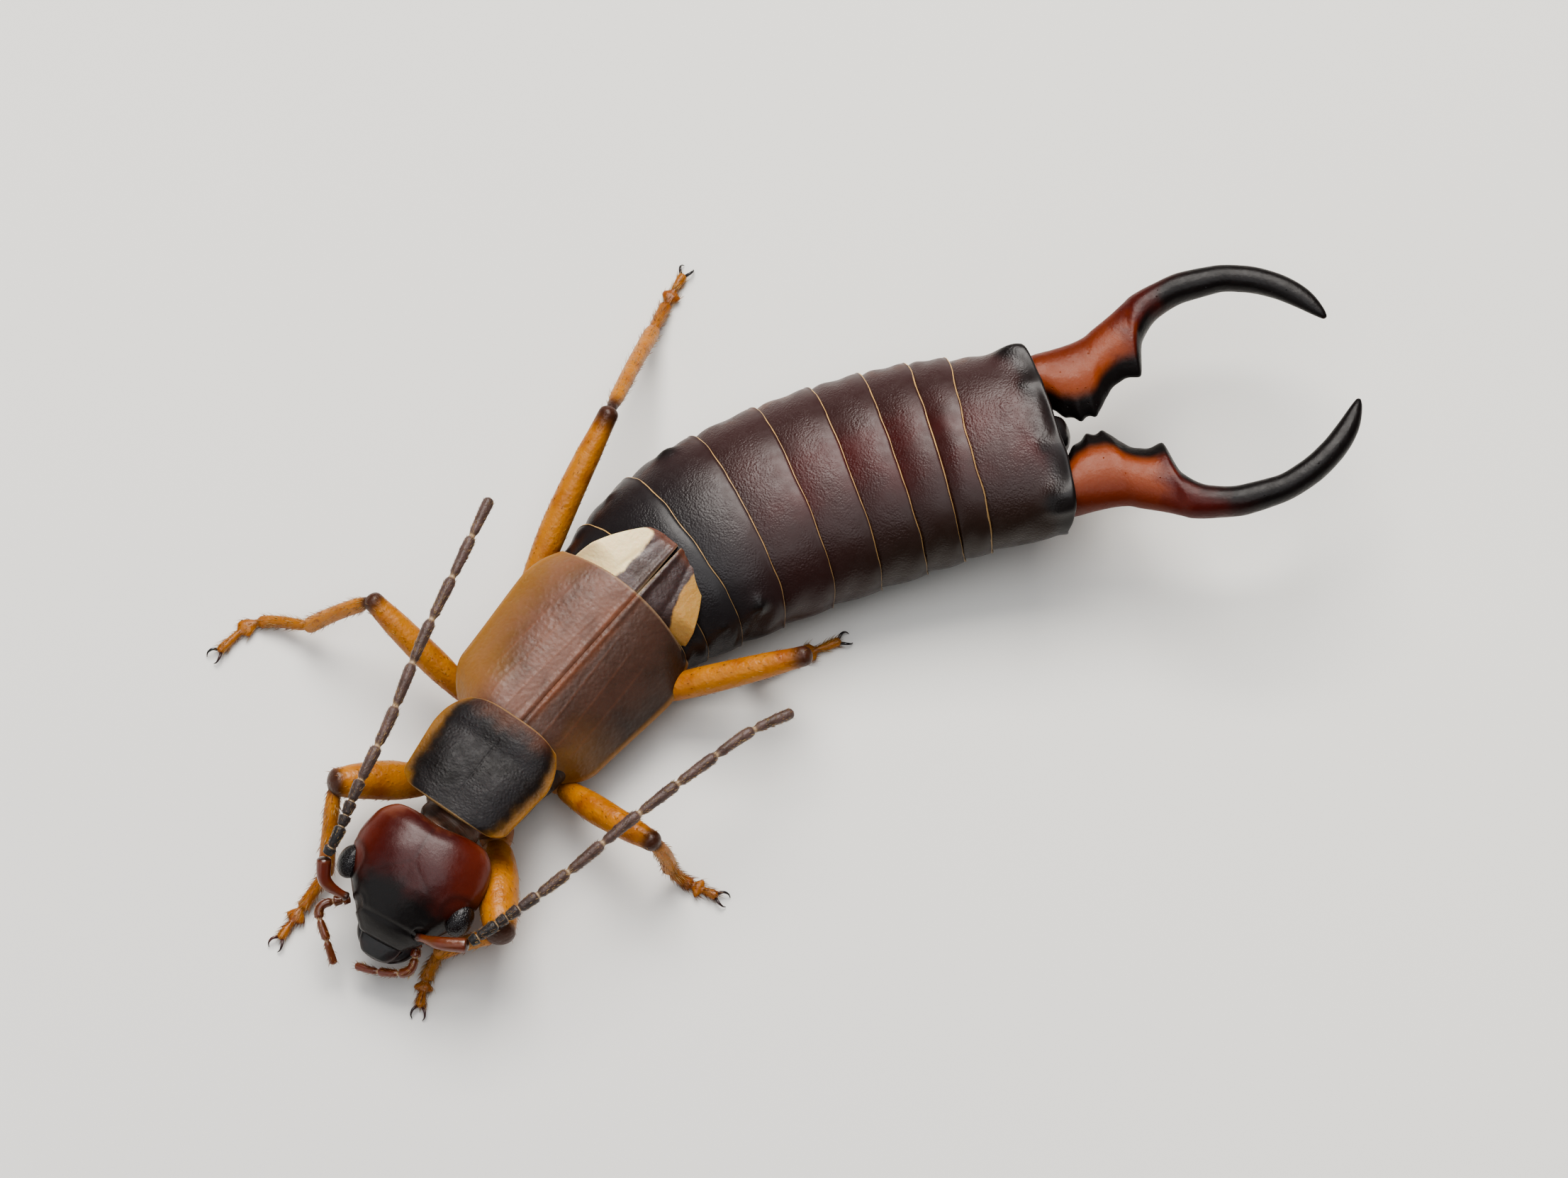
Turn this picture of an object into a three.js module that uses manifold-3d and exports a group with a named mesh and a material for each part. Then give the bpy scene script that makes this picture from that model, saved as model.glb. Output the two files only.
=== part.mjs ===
// A male European earwig at life size, in a resting pose.
// Millimetres, +Z up. The thorax lies along Y with the head towards -Y, and +X is the animal's left.
// The origin is on the floor, under the middle of the belly.
import * as THREE from 'three';
import { mergeVertices } from 'three/addons/utils/BufferGeometryUtils.js';
import Module from 'manifold-3d';

const wasm = await Module();
wasm.setup();

// Driving sizes
const GAP = 0.03;
const FINEST = 0.005;
const FLOOR = 0;
const LIMB_RADIUS = 0.25;
const BELLY = new THREE.Vector3(0.12, 1.65, 0);

// Colours
const AMBER = { color: 0xb9701c, roughness: 0.4, metalness: 0 };
const AMBER_DARK = { color: 0x7a3d12, roughness: 0.4, metalness: 0 };
const HEAD_RED = { color: 0x4a1710, roughness: 0.25, metalness: 0 };
const BLACK = { color: 0x15100f, roughness: 0.3, metalness: 0 };
const CHARCOAL = { color: 0x2b2422, roughness: 0.45, metalness: 0 };
const MAHOGANY = { color: 0x3f1a14, roughness: 0.35, metalness: 0 };
const GOLDEN_BROWN = { color: 0x8a5a35, roughness: 0.45, metalness: 0 };
const CREAM = { color: 0xe0c489, roughness: 0.5, metalness: 0 };
const GREY_BROWN = { color: 0x5b4a45, roughness: 0.6, metalness: 0 };

const UP = new THREE.Vector3(0, 0, 1);
const earwig = new THREE.Group();
const body = new THREE.Group();
body.position.set(-BELLY.x, -BELLY.y, 0);
earwig.add(body);

function point(x, y, z) {
  return new THREE.Vector3(x, y, z);
}

function mix(from, to, share) {
  return from + (to - from) * share;
}

function addMesh(parent, name, geometry, look) {
  const mesh = new THREE.Mesh(geometry, new THREE.MeshStandardMaterial(look));
  mesh.name = name;
  parent.add(mesh);
  return mesh;
}

// A closed solid through a row of cross-sections. Each section has its middle, half its width,
// its height above and below the middle, and how square its outline is (2 is an ellipse).
// The heading of a section is its own, or runs from the section before to the one after.
function loft(sections, sides, across = UP) {
  const last = sections.length - 1;
  const geometry = new THREE.CylinderGeometry(1, 1, 1, sides, last);
  const place = geometry.attributes.position;
  const spot = new THREE.Vector3();
  const frames = sections.map((section, index) => {
    const before = sections[Math.max(index - 1, 0)].at;
    const after = sections[Math.min(index + 1, last)].at;
    const heading = section.heading ?? after.clone().sub(before).normalize();
    const side = across.clone().cross(heading).normalize();
    return { side, up: heading.clone().cross(side) };
  });
  for (let i = 0; i < place.count; i += 1) {
    spot.fromBufferAttribute(place, i);
    const index = Math.round((0.5 - spot.y) * last);
    const { at, wide, high, low = high, square = 2 } = sections[index];
    const length = Math.hypot(spot.x, spot.z);
    let reach = 0;
    if (length > 0.5) {
      const corner = Math.abs(spot.x / length) ** square + Math.abs(spot.z / length) ** square;
      reach = corner ** (-1 / square);
    }
    const sideways = spot.x * reach * wide;
    const upwards = spot.z * reach * (spot.z > 0 ? high : low);
    spot.copy(at);
    spot.addScaledVector(frames[index].side, sideways);
    spot.addScaledVector(frames[index].up, upwards);
    place.setXYZ(i, spot.x, spot.y, spot.z);
  }
  return geometry;
}

// Flatten what would reach below the floor.
function restOnFloor(geometry) {
  const place = geometry.attributes.position;
  for (let i = 0; i < place.count; i += 1) {
    place.setZ(i, Math.max(place.getZ(i), FLOOR));
  }
  return geometry;
}

// A limb piece along a smooth curve, with its radii spread evenly along it.
function limb(points, radii, { sides = 7, steps = 6 } = {}) {
  const path = new THREE.CatmullRomCurve3(points);
  const chord = points.at(-1).clone().sub(points[0]);
  const across = chord.clone().cross(UP).normalize();
  const sections = [];
  for (let i = 0; i <= steps; i += 1) {
    const share = i / steps;
    const slot = share * (radii.length - 1);
    const low = Math.min(Math.floor(slot), radii.length - 2);
    const radius = mix(radii[low], radii[low + 1], slot - low);
    const heading = path.getTangentAt(share);
    sections.push({ at: path.getPointAt(share), heading, wide: radius, high: radius });
  }
  return loft(sections, sides, across);
}

// A solid of a closed mesh, in the place where its mesh stands
function solidOf(mesh, grow = 0) {
  mesh.updateWorldMatrix(true, false);
  const bare = mesh.geometry.clone().applyMatrix4(mesh.matrixWorld);
  bare.deleteAttribute('normal');
  bare.deleteAttribute('uv');
  if (grow > 0) {
    bare.computeBoundingBox();
    const middle = bare.boundingBox.getCenter(new THREE.Vector3());
    const size = bare.boundingBox.getSize(new THREE.Vector3());
    bare.translate(-middle.x, -middle.y, -middle.z);
    bare.scale(1 + 2 * grow / size.x, 1 + 2 * grow / size.y, 1 + 2 * grow / size.z);
    bare.translate(middle.x, middle.y, middle.z);
  }
  const merged = mergeVertices(bare, 1e-5);
  return new wasm.Manifold(new wasm.Mesh({
    numProp: 3,
    vertProperties: new Float32Array(merged.attributes.position.array),
    triVerts: new Uint32Array(merged.index.array),
  }));
}

// Cut a mesh clear of its neighbours and keep the largest piece that is left.
function trim(mesh, neighbours) {
  let rest = solidOf(mesh);
  for (const neighbour of neighbours) {
    rest = rest.subtract(solidOf(neighbour, GAP)).subtract(solidOf(neighbour));
  }
  const pieces = rest.decompose();
  pieces.sort((a, b) => b.volume() - a.volume());
  const kept = pieces[0].simplify(FINEST).getMesh();
  const geometry = new THREE.BufferGeometry();
  geometry.setAttribute('position', new THREE.BufferAttribute(kept.vertProperties, 3));
  geometry.setIndex(new THREE.BufferAttribute(kept.triVerts, 1));
  geometry.applyMatrix4(mesh.matrixWorld.clone().invert());
  geometry.computeVertexNormals();
  mesh.geometry = geometry;
}

// Abdomen: ten rings along a spine that bends to the animal's left and rises to the tail
const SPINE = new THREE.CatmullRomCurve3([
  point(-0.28, -0.6, 0.9),
  point(-0.27, 0.38, 0.92),
  point(-0.1, 1.26, 0.95),
  point(0.26, 2.2, 0.98),
  point(0.69, 3.04, 1.02),
  point(1.14, 3.75, 1.1),
  point(1.6, 4.37, 1.22),
  point(2.03, 4.87, 1.36),
  point(2.42, 5.26, 1.48),
  point(3.06, 5.98, 1.68),
]);
const SPINE_LENGTH = SPINE.getLength();
const RING_ENDS = [0, 0.5, 1.0, 1.78, 2.73, 3.66, 4.51, 5.29, 5.97, 6.47, SPINE_LENGTH];
const RING_HALF_WIDTH = [1.15, 1.28, 1.42, 1.57, 1.65, 1.68, 1.69, 1.67, 1.63, 1.57, 1.5];
const RING_HEIGHT = [0.66, 0.7, 0.84, 1.0, 1.04, 1.04, 1.02, 1.0, 0.97, 0.93, 0.74];
const RING_DEPTH = [0.72, 0.9, 1.04, 1.08, 1.12, 1.08, 1.02, 0.96, 0.9, 0.84, 0.66];
const RING_STEP = 0.03;
const RING_SIDES = 18;

function spineSection(distance, wide, high, low, square) {
  const share = THREE.MathUtils.clamp(distance / SPINE_LENGTH, 0, 1);
  return { at: SPINE.getPointAt(share), heading: SPINE.getTangentAt(share), wide, high, low, square };
}

// Each ring is a little narrower in front, where it slides into the ring before it.
function abdomenRing(index) {
  const start = RING_ENDS[index] + GAP;
  const end = RING_ENDS[index + 1];
  const rows = [0, 0.45, 1];
  const sections = rows.map((share) => {
    const inset = RING_STEP * (1 - share);
    return spineSection(
      mix(start, end, share),
      mix(RING_HALF_WIDTH[index], RING_HALF_WIDTH[index + 1], share) - inset,
      mix(RING_HEIGHT[index], RING_HEIGHT[index + 1], share) - inset,
      mix(RING_DEPTH[index], RING_DEPTH[index + 1], share) - inset,
      2.2,
    );
  });
  return restOnFloor(loft(sections, RING_SIDES));
}

const rings = [];
for (let index = 0; index < 10; index += 1) {
  rings.push(addMesh(body, `abdomen_${index + 1}`, abdomenRing(index), index < 3 ? CHARCOAL : MAHOGANY));
}

// Tail: the forceps and the small plate between them, in the plane of the last ring
const TAIL_YAW = THREE.MathUtils.degToRad(38);
const TAIL_PITCH = THREE.MathUtils.degToRad(8);
const tail = new THREE.Group();
tail.position.set(2.88, 5.79, 1.7);
tail.rotation.order = 'ZYX';
tail.rotation.set(TAIL_PITCH, 0, -TAIL_YAW);
body.add(tail);

const FORCEPS = [
  { along: 0.34, inner: 0.46, outer: 1.34, thick: 0.36 },
  { along: 0.6, inner: 0.24, outer: 1.35, thick: 0.34 },
  { along: 0.85, inner: 0.17, outer: 1.37, thick: 0.31 },
  { along: 1.1, inner: 0.24, outer: 1.42, thick: 0.29 },
  { along: 1.25, inner: 0.46, outer: 1.5, thick: 0.28 },
  { along: 1.6, inner: 0.62, outer: 1.68, thick: 0.27 },
  { along: 1.8, inner: 0.58, outer: 1.8, thick: 0.27 },
  { along: 1.94, inner: 1.12, outer: 1.88, thick: 0.27 },
  { along: 2.3, inner: 1.48, outer: 1.98, thick: 0.27 },
  { along: 2.75, inner: 1.61, outer: 2.06, thick: 0.26 },
  { along: 3.25, inner: 1.62, outer: 2.03, thick: 0.25 },
  { along: 3.7, inner: 1.5, outer: 1.9, thick: 0.25, turn: 20 },
  { along: 4.12, inner: 1.27, outer: 1.65, thick: 0.25, turn: 32 },
  { along: 4.44, inner: 1.0, outer: 1.32, thick: 0.23, turn: 48 },
  { along: 4.7, inner: 0.72, outer: 0.86, thick: 0.12, turn: 70 },
];

// How much longer a forceps is than its sections say, and how far it leans to the middle line
const FORCEPS_FIT = { l: { stretch: 1.045, lean: 0.02 }, r: { stretch: 1.01, lean: 0 } };

function forceps(side, { stretch, lean }) {
  const base = FORCEPS[0].along;
  const sections = FORCEPS.map(({ along, inner, outer, thick, turn = 0 }) => {
    const angle = THREE.MathUtils.degToRad(turn);
    const reach = (along - base) * stretch;
    return {
      at: point(side * ((inner + outer) / 2 - lean * reach), base + reach, 0),
      heading: point(-side * Math.sin(angle), Math.cos(angle), 0),
      wide: (outer - inner) / 2,
      high: thick,
      square: 2.4,
    };
  });
  return loft(sections, 11);
}

for (const [letter, side] of [['l', 1], ['r', -1]]) {
  addMesh(tail, `forceps_${letter}`, forceps(side, FORCEPS_FIT[letter]), AMBER_DARK);
}
const pygidium = loft([
  { at: point(0, 0.33, -0.02), wide: 0.3, high: 0.3 },
  { at: point(0, 0.48, -0.04), wide: 0.24, high: 0.27 },
  { at: point(0, 0.56, -0.05), wide: 0.1, high: 0.15 },
], 10);
addMesh(tail, 'pygidium', pygidium, BLACK);

// Wing base: the thorax under its wing covers leans a little to the animal's left
const wingBase = new THREE.Group();
wingBase.position.set(-0.31, 0, 1.05);
wingBase.rotation.order = 'ZYX';
wingBase.rotation.set(THREE.MathUtils.degToRad(3), THREE.MathUtils.degToRad(15), 0);
body.add(wingBase);

const WING_THICKNESS = 0.45;
const COVER_START = -2.95;
const COVER_END = 0.02;
const COVER_HALF_WIDTH = 1.44;

// A curved slab: across runs from the middle line to the outer edge, along from front to rear.
function slab(side, columns, rows, shape) {
  const geometry = new THREE.BoxGeometry(1, 1, 1, columns, rows, 1);
  const place = geometry.attributes.position;
  for (let i = 0; i < place.count; i += 1) {
    const across = side > 0 ? place.getX(i) + 0.5 : 0.5 - place.getX(i);
    const along = place.getY(i) + 0.5;
    const under = place.getZ(i) < 0;
    const { x, y, z, thickness } = shape(across, along);
    place.setXYZ(i, side * x, y, under ? z - thickness : z);
  }
  return geometry;
}

function coverShape(across, along) {
  const shoulder = 1 - 0.3 * (1 - Math.min(along / 0.22, 1)) ** 2;
  const hip = 1 - 0.16 * Math.max((along - 0.72) / 0.28, 0) ** 2;
  const halfWidth = COVER_HALF_WIDTH * shoulder * hip * (1 - 0.06 * Math.cos(along * Math.PI));
  const ridge = mix(0.9, 1.02, along);
  return {
    x: GAP / 2 + across * halfWidth,
    y: mix(COVER_START, COVER_END, along) + 0.1 * across ** 2 * (1 - 2 * along),
    z: ridge - 0.78 * across ** 2.4,
    thickness: WING_THICKNESS,
  };
}

function wingTipShape(across, along) {
  const halfWidth = mix(1.12, 0.5, along ** 1.8);
  const rounding = 0.18 * Math.max(across - 0.4, 0) ** 2 * along;
  return {
    x: GAP / 2 + 0.06 * along + across * halfWidth,
    y: mix(COVER_END + 0.05, 1.02, along) - rounding,
    z: mix(1.0, 0.94, along) - 0.16 * (across * halfWidth) ** 2,
    thickness: mix(0.36, 0.22, along),
  };
}

const covers = [];
const wingTips = [];
for (const [letter, side] of [['l', 1], ['r', -1]]) {
  covers.push(addMesh(wingBase, `tegmen_${letter}`, slab(side, 6, 9, coverShape), GOLDEN_BROWN));
  wingTips.push(addMesh(wingBase, `wing_tip_${letter}`, slab(side, 4, 4, wingTipShape), CREAM));
}
const thorax = addMesh(wingBase, 'thorax', loft([
  { at: point(0, -2.72, -0.12), wide: 0.85, high: 0.42, low: 0.4 },
  { at: point(0, -2.2, -0.12), wide: 1.1, high: 0.5, low: 0.5 },
  { at: point(0, -1.2, -0.1), wide: 1.15, high: 0.52, low: 0.56 },
  { at: point(0, -0.75, -0.1), wide: 1.12, high: 0.5, low: 0.56 },
], 18), CHARCOAL);

// Front of the thorax: a rounded plate over a small body
const fore = new THREE.Group();
fore.position.set(-0.12, -3.42, 0);
fore.rotation.z = THREE.MathUtils.degToRad(4);
body.add(fore);

function plateShape(across, along) {
  const rear = along > 0.62 ? Math.sqrt(Math.max(1 - ((along - 0.62) / 0.5) ** 2, 0)) : 1;
  const halfWidth = mix(0.93, 1.04, Math.min(along / 0.62, 1)) * mix(rear, 1, 0.3);
  const front = 1 - 0.12 * (1 - Math.min(along / 0.1, 1)) ** 2;
  return {
    x: across * halfWidth * front,
    y: mix(-1.03, 0.75, along) - 0.1 * across ** 4 * (along - 0.3),
    z: 1.98 - 0.05 * (1 - along) - 0.2 * across ** 3,
    thickness: 0.42,
  };
}

// Both halves of the plate are one box, so its shape reads the distance from the middle line.
function pronotum() {
  const geometry = new THREE.BoxGeometry(2, 1, 1, 8, 9, 1);
  const place = geometry.attributes.position;
  for (let i = 0; i < place.count; i += 1) {
    const across = place.getX(i);
    const under = place.getZ(i) < 0;
    const { x, y, z, thickness } = plateShape(Math.abs(across), place.getY(i) + 0.5);
    place.setXYZ(i, Math.sign(across) * x, y, under ? z - thickness : z);
  }
  return geometry;
}

const plate = addMesh(fore, 'pronotum', pronotum(), CHARCOAL);
const prothorax = addMesh(fore, 'prothorax', loft([
  { at: point(0, -0.8, 1.02), wide: 0.6, high: 0.3, low: 0.34 },
  { at: point(0, -0.45, 0.98), wide: 0.78, high: 0.36, low: 0.45 },
  { at: point(0, 0.2, 0.95), wide: 0.82, high: 0.36, low: 0.5 },
  { at: point(0, 0.56, 0.92), wide: 0.78, high: 0.34, low: 0.45 },
], 14), AMBER_DARK);

// Head: turned to the animal's left and tipped a little down
const head = new THREE.Group();
head.position.set(0.02, -4.8, 1.4);
head.rotation.order = 'ZYX';
head.rotation.set(THREE.MathUtils.degToRad(12), 0, THREE.MathUtils.degToRad(10));
body.add(head);

const skull = addMesh(head, 'head', loft([
  { at: point(0, 0.22, 0.02), wide: 0.56, high: 0.3, low: 0.28 },
  { at: point(0, 0.12, 0.02), wide: 0.82, high: 0.44, low: 0.4 },
  { at: point(0, -0.16, 0.02), wide: 0.98, high: 0.54, low: 0.5 },
  { at: point(0, -0.46, 0.02), wide: 1.06, high: 0.6, low: 0.54 },
  { at: point(0, -0.8, 0), wide: 1.03, high: 0.6, low: 0.54 },
  { at: point(0, -1.1, -0.02), wide: 0.9, high: 0.54, low: 0.5 },
  { at: point(0, -1.35, -0.04), wide: 0.73, high: 0.44, low: 0.44 },
  { at: point(0, -1.55, -0.06), wide: 0.56, high: 0.32, low: 0.36 },
], 18), HEAD_RED);
const neck = addMesh(body, 'neck', loft([
  { at: point(-0.05, -4.24, 1.2), wide: 0.5, high: 0.34, low: 0.34 },
  { at: point(0.0, -4.65, 1.3), wide: 0.46, high: 0.32, low: 0.32 },
], 12), AMBER);

const labrum = addMesh(head, 'labrum', loft([
  { at: point(0, -1.6, 0.0), wide: 0.36, high: 0.14, low: 0.2 },
  { at: point(0, -1.8, -0.04), wide: 0.33, high: 0.12, low: 0.2 },
  { at: point(0, -1.92, -0.08), wide: 0.18, high: 0.08, low: 0.14 },
], 12), BLACK);
const mouthparts = addMesh(head, 'mouthparts', loft([
  { at: point(0, -0.95, -0.62), wide: 0.4, high: 0.16, low: 0.14 },
  { at: point(0, -1.35, -0.64), wide: 0.42, high: 0.16, low: 0.16 },
  { at: point(0, -1.72, -0.6), wide: 0.22, high: 0.12, low: 0.12 },
], 12), AMBER_DARK);
const jaws = [];
const eyes = [];
for (const [letter, side] of [['l', 1], ['r', -1]]) {
  const jaw = addMesh(head, `mandible_${letter}`, loft([
    { at: point(side * 0.34, -1.5, -0.32), wide: 0.22, high: 0.2, low: 0.18 },
    { at: point(side * 0.32, -1.75, -0.36), wide: 0.2, high: 0.18, low: 0.16 },
    { at: point(side * 0.16, -1.95, -0.38), wide: 0.12, high: 0.12, low: 0.12 },
  ], 10), BLACK);
  jaws.push(jaw);
  const ball = new THREE.SphereGeometry(1, 14, 8);
  ball.rotateX(Math.PI / 2);
  ball.scale(0.2, 0.27, 0.22);
  ball.translate(side * 0.95, -0.85, 0.12);
  eyes.push(addMesh(head, `eye_${letter}`, ball, BLACK));
}

// Feelers: a stout first piece, then one long thread of beads
const FEELERS = {
  r: {
    base: point(-0.6, -6.2, 1.28),
    scape: point(-0.98, -6.13, 1.65),
    thread: [
      point(-0.98, -6.02, 1.76),
      point(-1.0, -5.82, 1.9),
      point(-1.23, -5.04, 2.1),
      point(-1.53, -3.96, 2.2),
      point(-1.95, -2.75, 2.3),
      point(-2.26, -1.65, 2.38),
      point(-2.64, -0.36, 2.4),
    ],
  },
  l: {
    base: point(0.8, -6.06, 1.28),
    scape: point(1.46, -5.76, 1.5),
    thread: [
      point(1.49, -5.66, 1.52),
      point(1.62, -5.25, 1.6),
      point(1.9, -4.21, 1.74),
      point(2.16, -2.82, 1.88),
      point(2.43, -1.51, 1.92),
      point(2.63, -0.6, 1.86),
      point(2.9, 0.08, 1.76),
    ],
  },
};
const FEELER_RADIUS = 0.23;
const scapes = [];
const threads = [];
for (const [letter, feeler] of Object.entries(FEELERS)) {
  const scape = limb([feeler.base, feeler.scape], [0.2, LIMB_RADIUS, 0.24], { steps: 4 });
  scapes.push(addMesh(body, `scape_${letter}`, scape, AMBER_DARK));
  const thread = limb(feeler.thread, [0.2, FEELER_RADIUS, FEELER_RADIUS, 0.2], { sides: 6, steps: 20 });
  threads.push(addMesh(body, `antenna_${letter}`, thread, GREY_BROWN));
}

// Palps: one bent feeler of the mouth on each side
const PALP_RADIUS = 0.2;
const PALPS = {
  r: [point(-0.52, -6.25, 0.92), point(-0.76, -6.55, 0.88), point(-0.4, -6.83, 0.7), point(-0.12, -7.0, 0.45)],
  l: [point(0.71, -6.11, 0.84), point(0.86, -6.4, 0.68), point(0.45, -6.68, 0.5), point(0.1, -6.8, 0.4)],
};
const palps = [];
for (const [letter, points] of Object.entries(PALPS)) {
  const palp = limb(points, [PALP_RADIUS, PALP_RADIUS, 0.18], { sides: 7, steps: 9 });
  palps.push(addMesh(body, `palp_${letter}`, palp, AMBER));
}

// Legs: hip, femur, tibia and foot, by the points where they bend
const LEGS = {
  front_r: {
    hip: [point(-0.45, -3.7, 0.5), point(-0.98, -3.98, 0.58)],
    knee: point(-1.8, -5.05, 1.3),
    ankle: point(-1.18, -6.0, 0.4),
    foot: [point(-1.18, -6.5, 0.24), point(-1.12, -7.25, 0.2)],
    femurRadius: 0.29,
  },
  front_l: {
    hip: [point(0.25, -3.7, 0.5), point(0.62, -4.15, 0.58)],
    knee: point(1.72, -5.3, 1.32),
    ankle: point(0.9, -5.85, 0.4),
    foot: [point(0.98, -6.2, 0.24), point(1.2, -6.66, 0.2)],
    femurRadius: 0.3,
  },
  middle_r: {
    hip: [point(-0.75, -2.3, 0.45), point(-1.3, -2.55, 0.55)],
    knee: point(-3.24, -2.5, 1.5),
    ankle: point(-4.04, -3.15, 0.42),
    foot: [point(-4.62, -3.42, 0.26), point(-4.8, -3.66, 0.2), point(-4.88, -4.26, 0.2)],
    femurRadius: 0.25,
  },
  middle_l: {
    hip: [point(0.3, -2.3, 0.45), point(0.78, -2.78, 0.56)],
    knee: point(2.55, -2.72, 1.36),
    ankle: point(2.74, -2.6, 0.42),
    foot: [point(2.95, -2.58, 0.24), point(3.5, -2.44, 0.2)],
    femurRadius: 0.25,
  },
  hind_r: {
    hip: [point(-0.8, -1.2, 0.4), point(-1.7, -1.0, 0.55)],
    knee: point(-2.33, 2.04, 1.9),
    ankle: point(-3.2, 4.07, 0.4),
    foot: [point(-3.37, 4.5, 0.24), point(-3.5, 5.18, 0.2)],
    femurRadius: 0.26,
  },
  hind_l: {
    hip: [point(0.1, -1.1, 0.4), point(0.6, -0.98, 0.5)],
    knee: point(2.45, 0.97, 1.6),
    ankle: point(1.62, 0.62, 0.4),
    foot: [point(1.95, 1.25, 0.24), point(2.3, 1.92, 0.2)],
    femurRadius: 0.26,
  },
};

// The covers rest on the body, the neck fits between head and plate, and the limbs fit round them.
const trunk = [thorax, prothorax, neck, skull, plate, ...covers];
trim(neck, [skull, plate, prothorax]);
for (const cover of covers) {
  trim(cover, [plate, prothorax]);
}
for (const ring of rings.slice(0, 3)) {
  trim(ring, [...covers, ...wingTips]);
}
trim(thorax, covers);

function leg(name, { hip, knee, ankle, foot, femurRadius }) {
  const sag = hip[1].clone().lerp(knee, 0.5);
  sag.z += 0.06;
  const coxa = addMesh(body, `coxa_${name}`, limb(hip, [0.26, 0.27, LIMB_RADIUS], { steps: 3 }), AMBER);
  const thigh = limb([hip[1], sag, knee], [LIMB_RADIUS, femurRadius, femurRadius, LIMB_RADIUS], { steps: 6 });
  const femur = addMesh(body, `femur_${name}`, thigh, AMBER);
  const tibia = addMesh(body, `tibia_${name}`, limb([knee, ankle], [LIMB_RADIUS, LIMB_RADIUS], { steps: 4 }), AMBER);
  const tarsus = restOnFloor(limb([ankle, ...foot], [LIMB_RADIUS, 0.24, 0.22], { steps: 9 }));
  const sole = addMesh(body, `tarsus_${name}`, tarsus, AMBER);
  trim(coxa, trunk);
  trim(femur, [coxa, ...trunk]);
  trim(tibia, [femur, ...trunk]);
  trim(sole, [tibia, femur, ...trunk]);
  return [coxa, femur, tibia, sole];
}

const limbs = Object.entries(LEGS).flatMap(([name, joints]) => leg(name, joints));
trim(labrum, [skull]);
for (const jaw of jaws) {
  trim(jaw, [skull, labrum]);
}
for (const eye of eyes) {
  trim(eye, [skull]);
}
trim(mouthparts, [skull, ...jaws]);
scapes.forEach((scape, index) => {
  trim(scape, [skull, ...eyes, ...jaws]);
  trim(threads[index], [skull, scape, ...eyes, ...limbs]);
});
for (const palp of palps) {
  trim(palp, [skull, labrum, mouthparts, ...jaws, ...scapes]);
}

export default earwig;
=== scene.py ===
import math
import random
from bisect import bisect_right

import bmesh
import bpy
import numpy as np
from mathutils import Matrix, Vector, noise


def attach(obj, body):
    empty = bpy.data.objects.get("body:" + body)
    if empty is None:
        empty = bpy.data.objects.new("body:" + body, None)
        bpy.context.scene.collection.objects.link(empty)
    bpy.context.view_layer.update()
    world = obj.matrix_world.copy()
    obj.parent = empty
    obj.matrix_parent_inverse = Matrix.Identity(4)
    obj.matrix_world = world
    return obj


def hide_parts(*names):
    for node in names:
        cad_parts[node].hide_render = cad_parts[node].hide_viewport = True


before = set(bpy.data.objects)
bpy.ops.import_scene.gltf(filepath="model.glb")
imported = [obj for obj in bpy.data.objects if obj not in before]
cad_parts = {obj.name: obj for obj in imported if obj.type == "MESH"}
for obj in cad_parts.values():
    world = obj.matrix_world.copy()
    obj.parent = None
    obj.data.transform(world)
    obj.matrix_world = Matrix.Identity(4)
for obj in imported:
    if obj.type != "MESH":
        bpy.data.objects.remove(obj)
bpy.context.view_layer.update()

bl_info = {
    "name": "Earwig",
    "version": (1, 0, 0),
    "blender": (4, 5, 0),
    "location": "View3D > Sidebar > Earwig",
    "description": "A male European earwig, still and at life size",
    "category": "Add Mesh",
}

# Shapes are worked out in millimetres, with the thorax along Y. The frame's origin lies under the belly.
MM = 0.001
BELLY = Vector((0.12, 1.65, 0.0))
UP = Vector((0.0, 0.0, 1.0))
MERGE = 0.0008
FLOOR_CLEARANCE = 0.002


def paint(*parts):
    """A colour given as a screen's numbers from 11 to 255, in the linear numbers that shaders use."""
    return tuple(((part / 255 + 0.055) / 1.055) ** 2.4 for part in parts)


class EarwigSizes(bpy.types.PropertyGroup):
    """Sizes that a user would change."""

    rim_width: bpy.props.FloatProperty(
        name="Rim width", description="Width of the pale rear edge of each abdomen plate",
        default=0.017 * MM, unit="LENGTH")
    plate_lip: bpy.props.FloatProperty(
        name="Plate lip", description="How far a plate's rear edge stands over the next plate",
        default=0.04 * MM, unit="LENGTH")
    cover_thickness: bpy.props.FloatProperty(
        name="Cover thickness", description="Thickness of the wing covers",
        default=0.1 * MM, unit="LENGTH")
    bead_radius: bpy.props.FloatProperty(
        name="Bead radius", description="Radius of the feelers' beads at their widest",
        default=0.094 * MM, unit="LENGTH")
    bristle_length: bpy.props.FloatProperty(
        name="Bristle length", description="Length of the bristles on the legs",
        default=0.13 * MM, unit="LENGTH")
    bristle_radius: bpy.props.FloatProperty(
        name="Bristle radius", description="Radius of a bristle at its root",
        default=0.005 * MM, unit="LENGTH")
    floor_width: bpy.props.FloatProperty(
        name="Floor width", description="Width of the floor that the model stands on",
        default=0.6, unit="LENGTH")


def colour(name, description, *parts):
    """A colour property with its default."""
    return bpy.props.FloatVectorProperty(
        name=name, description=description, subtype="COLOR", size=3, min=0.0, max=1.0, default=paint(*parts))


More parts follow.
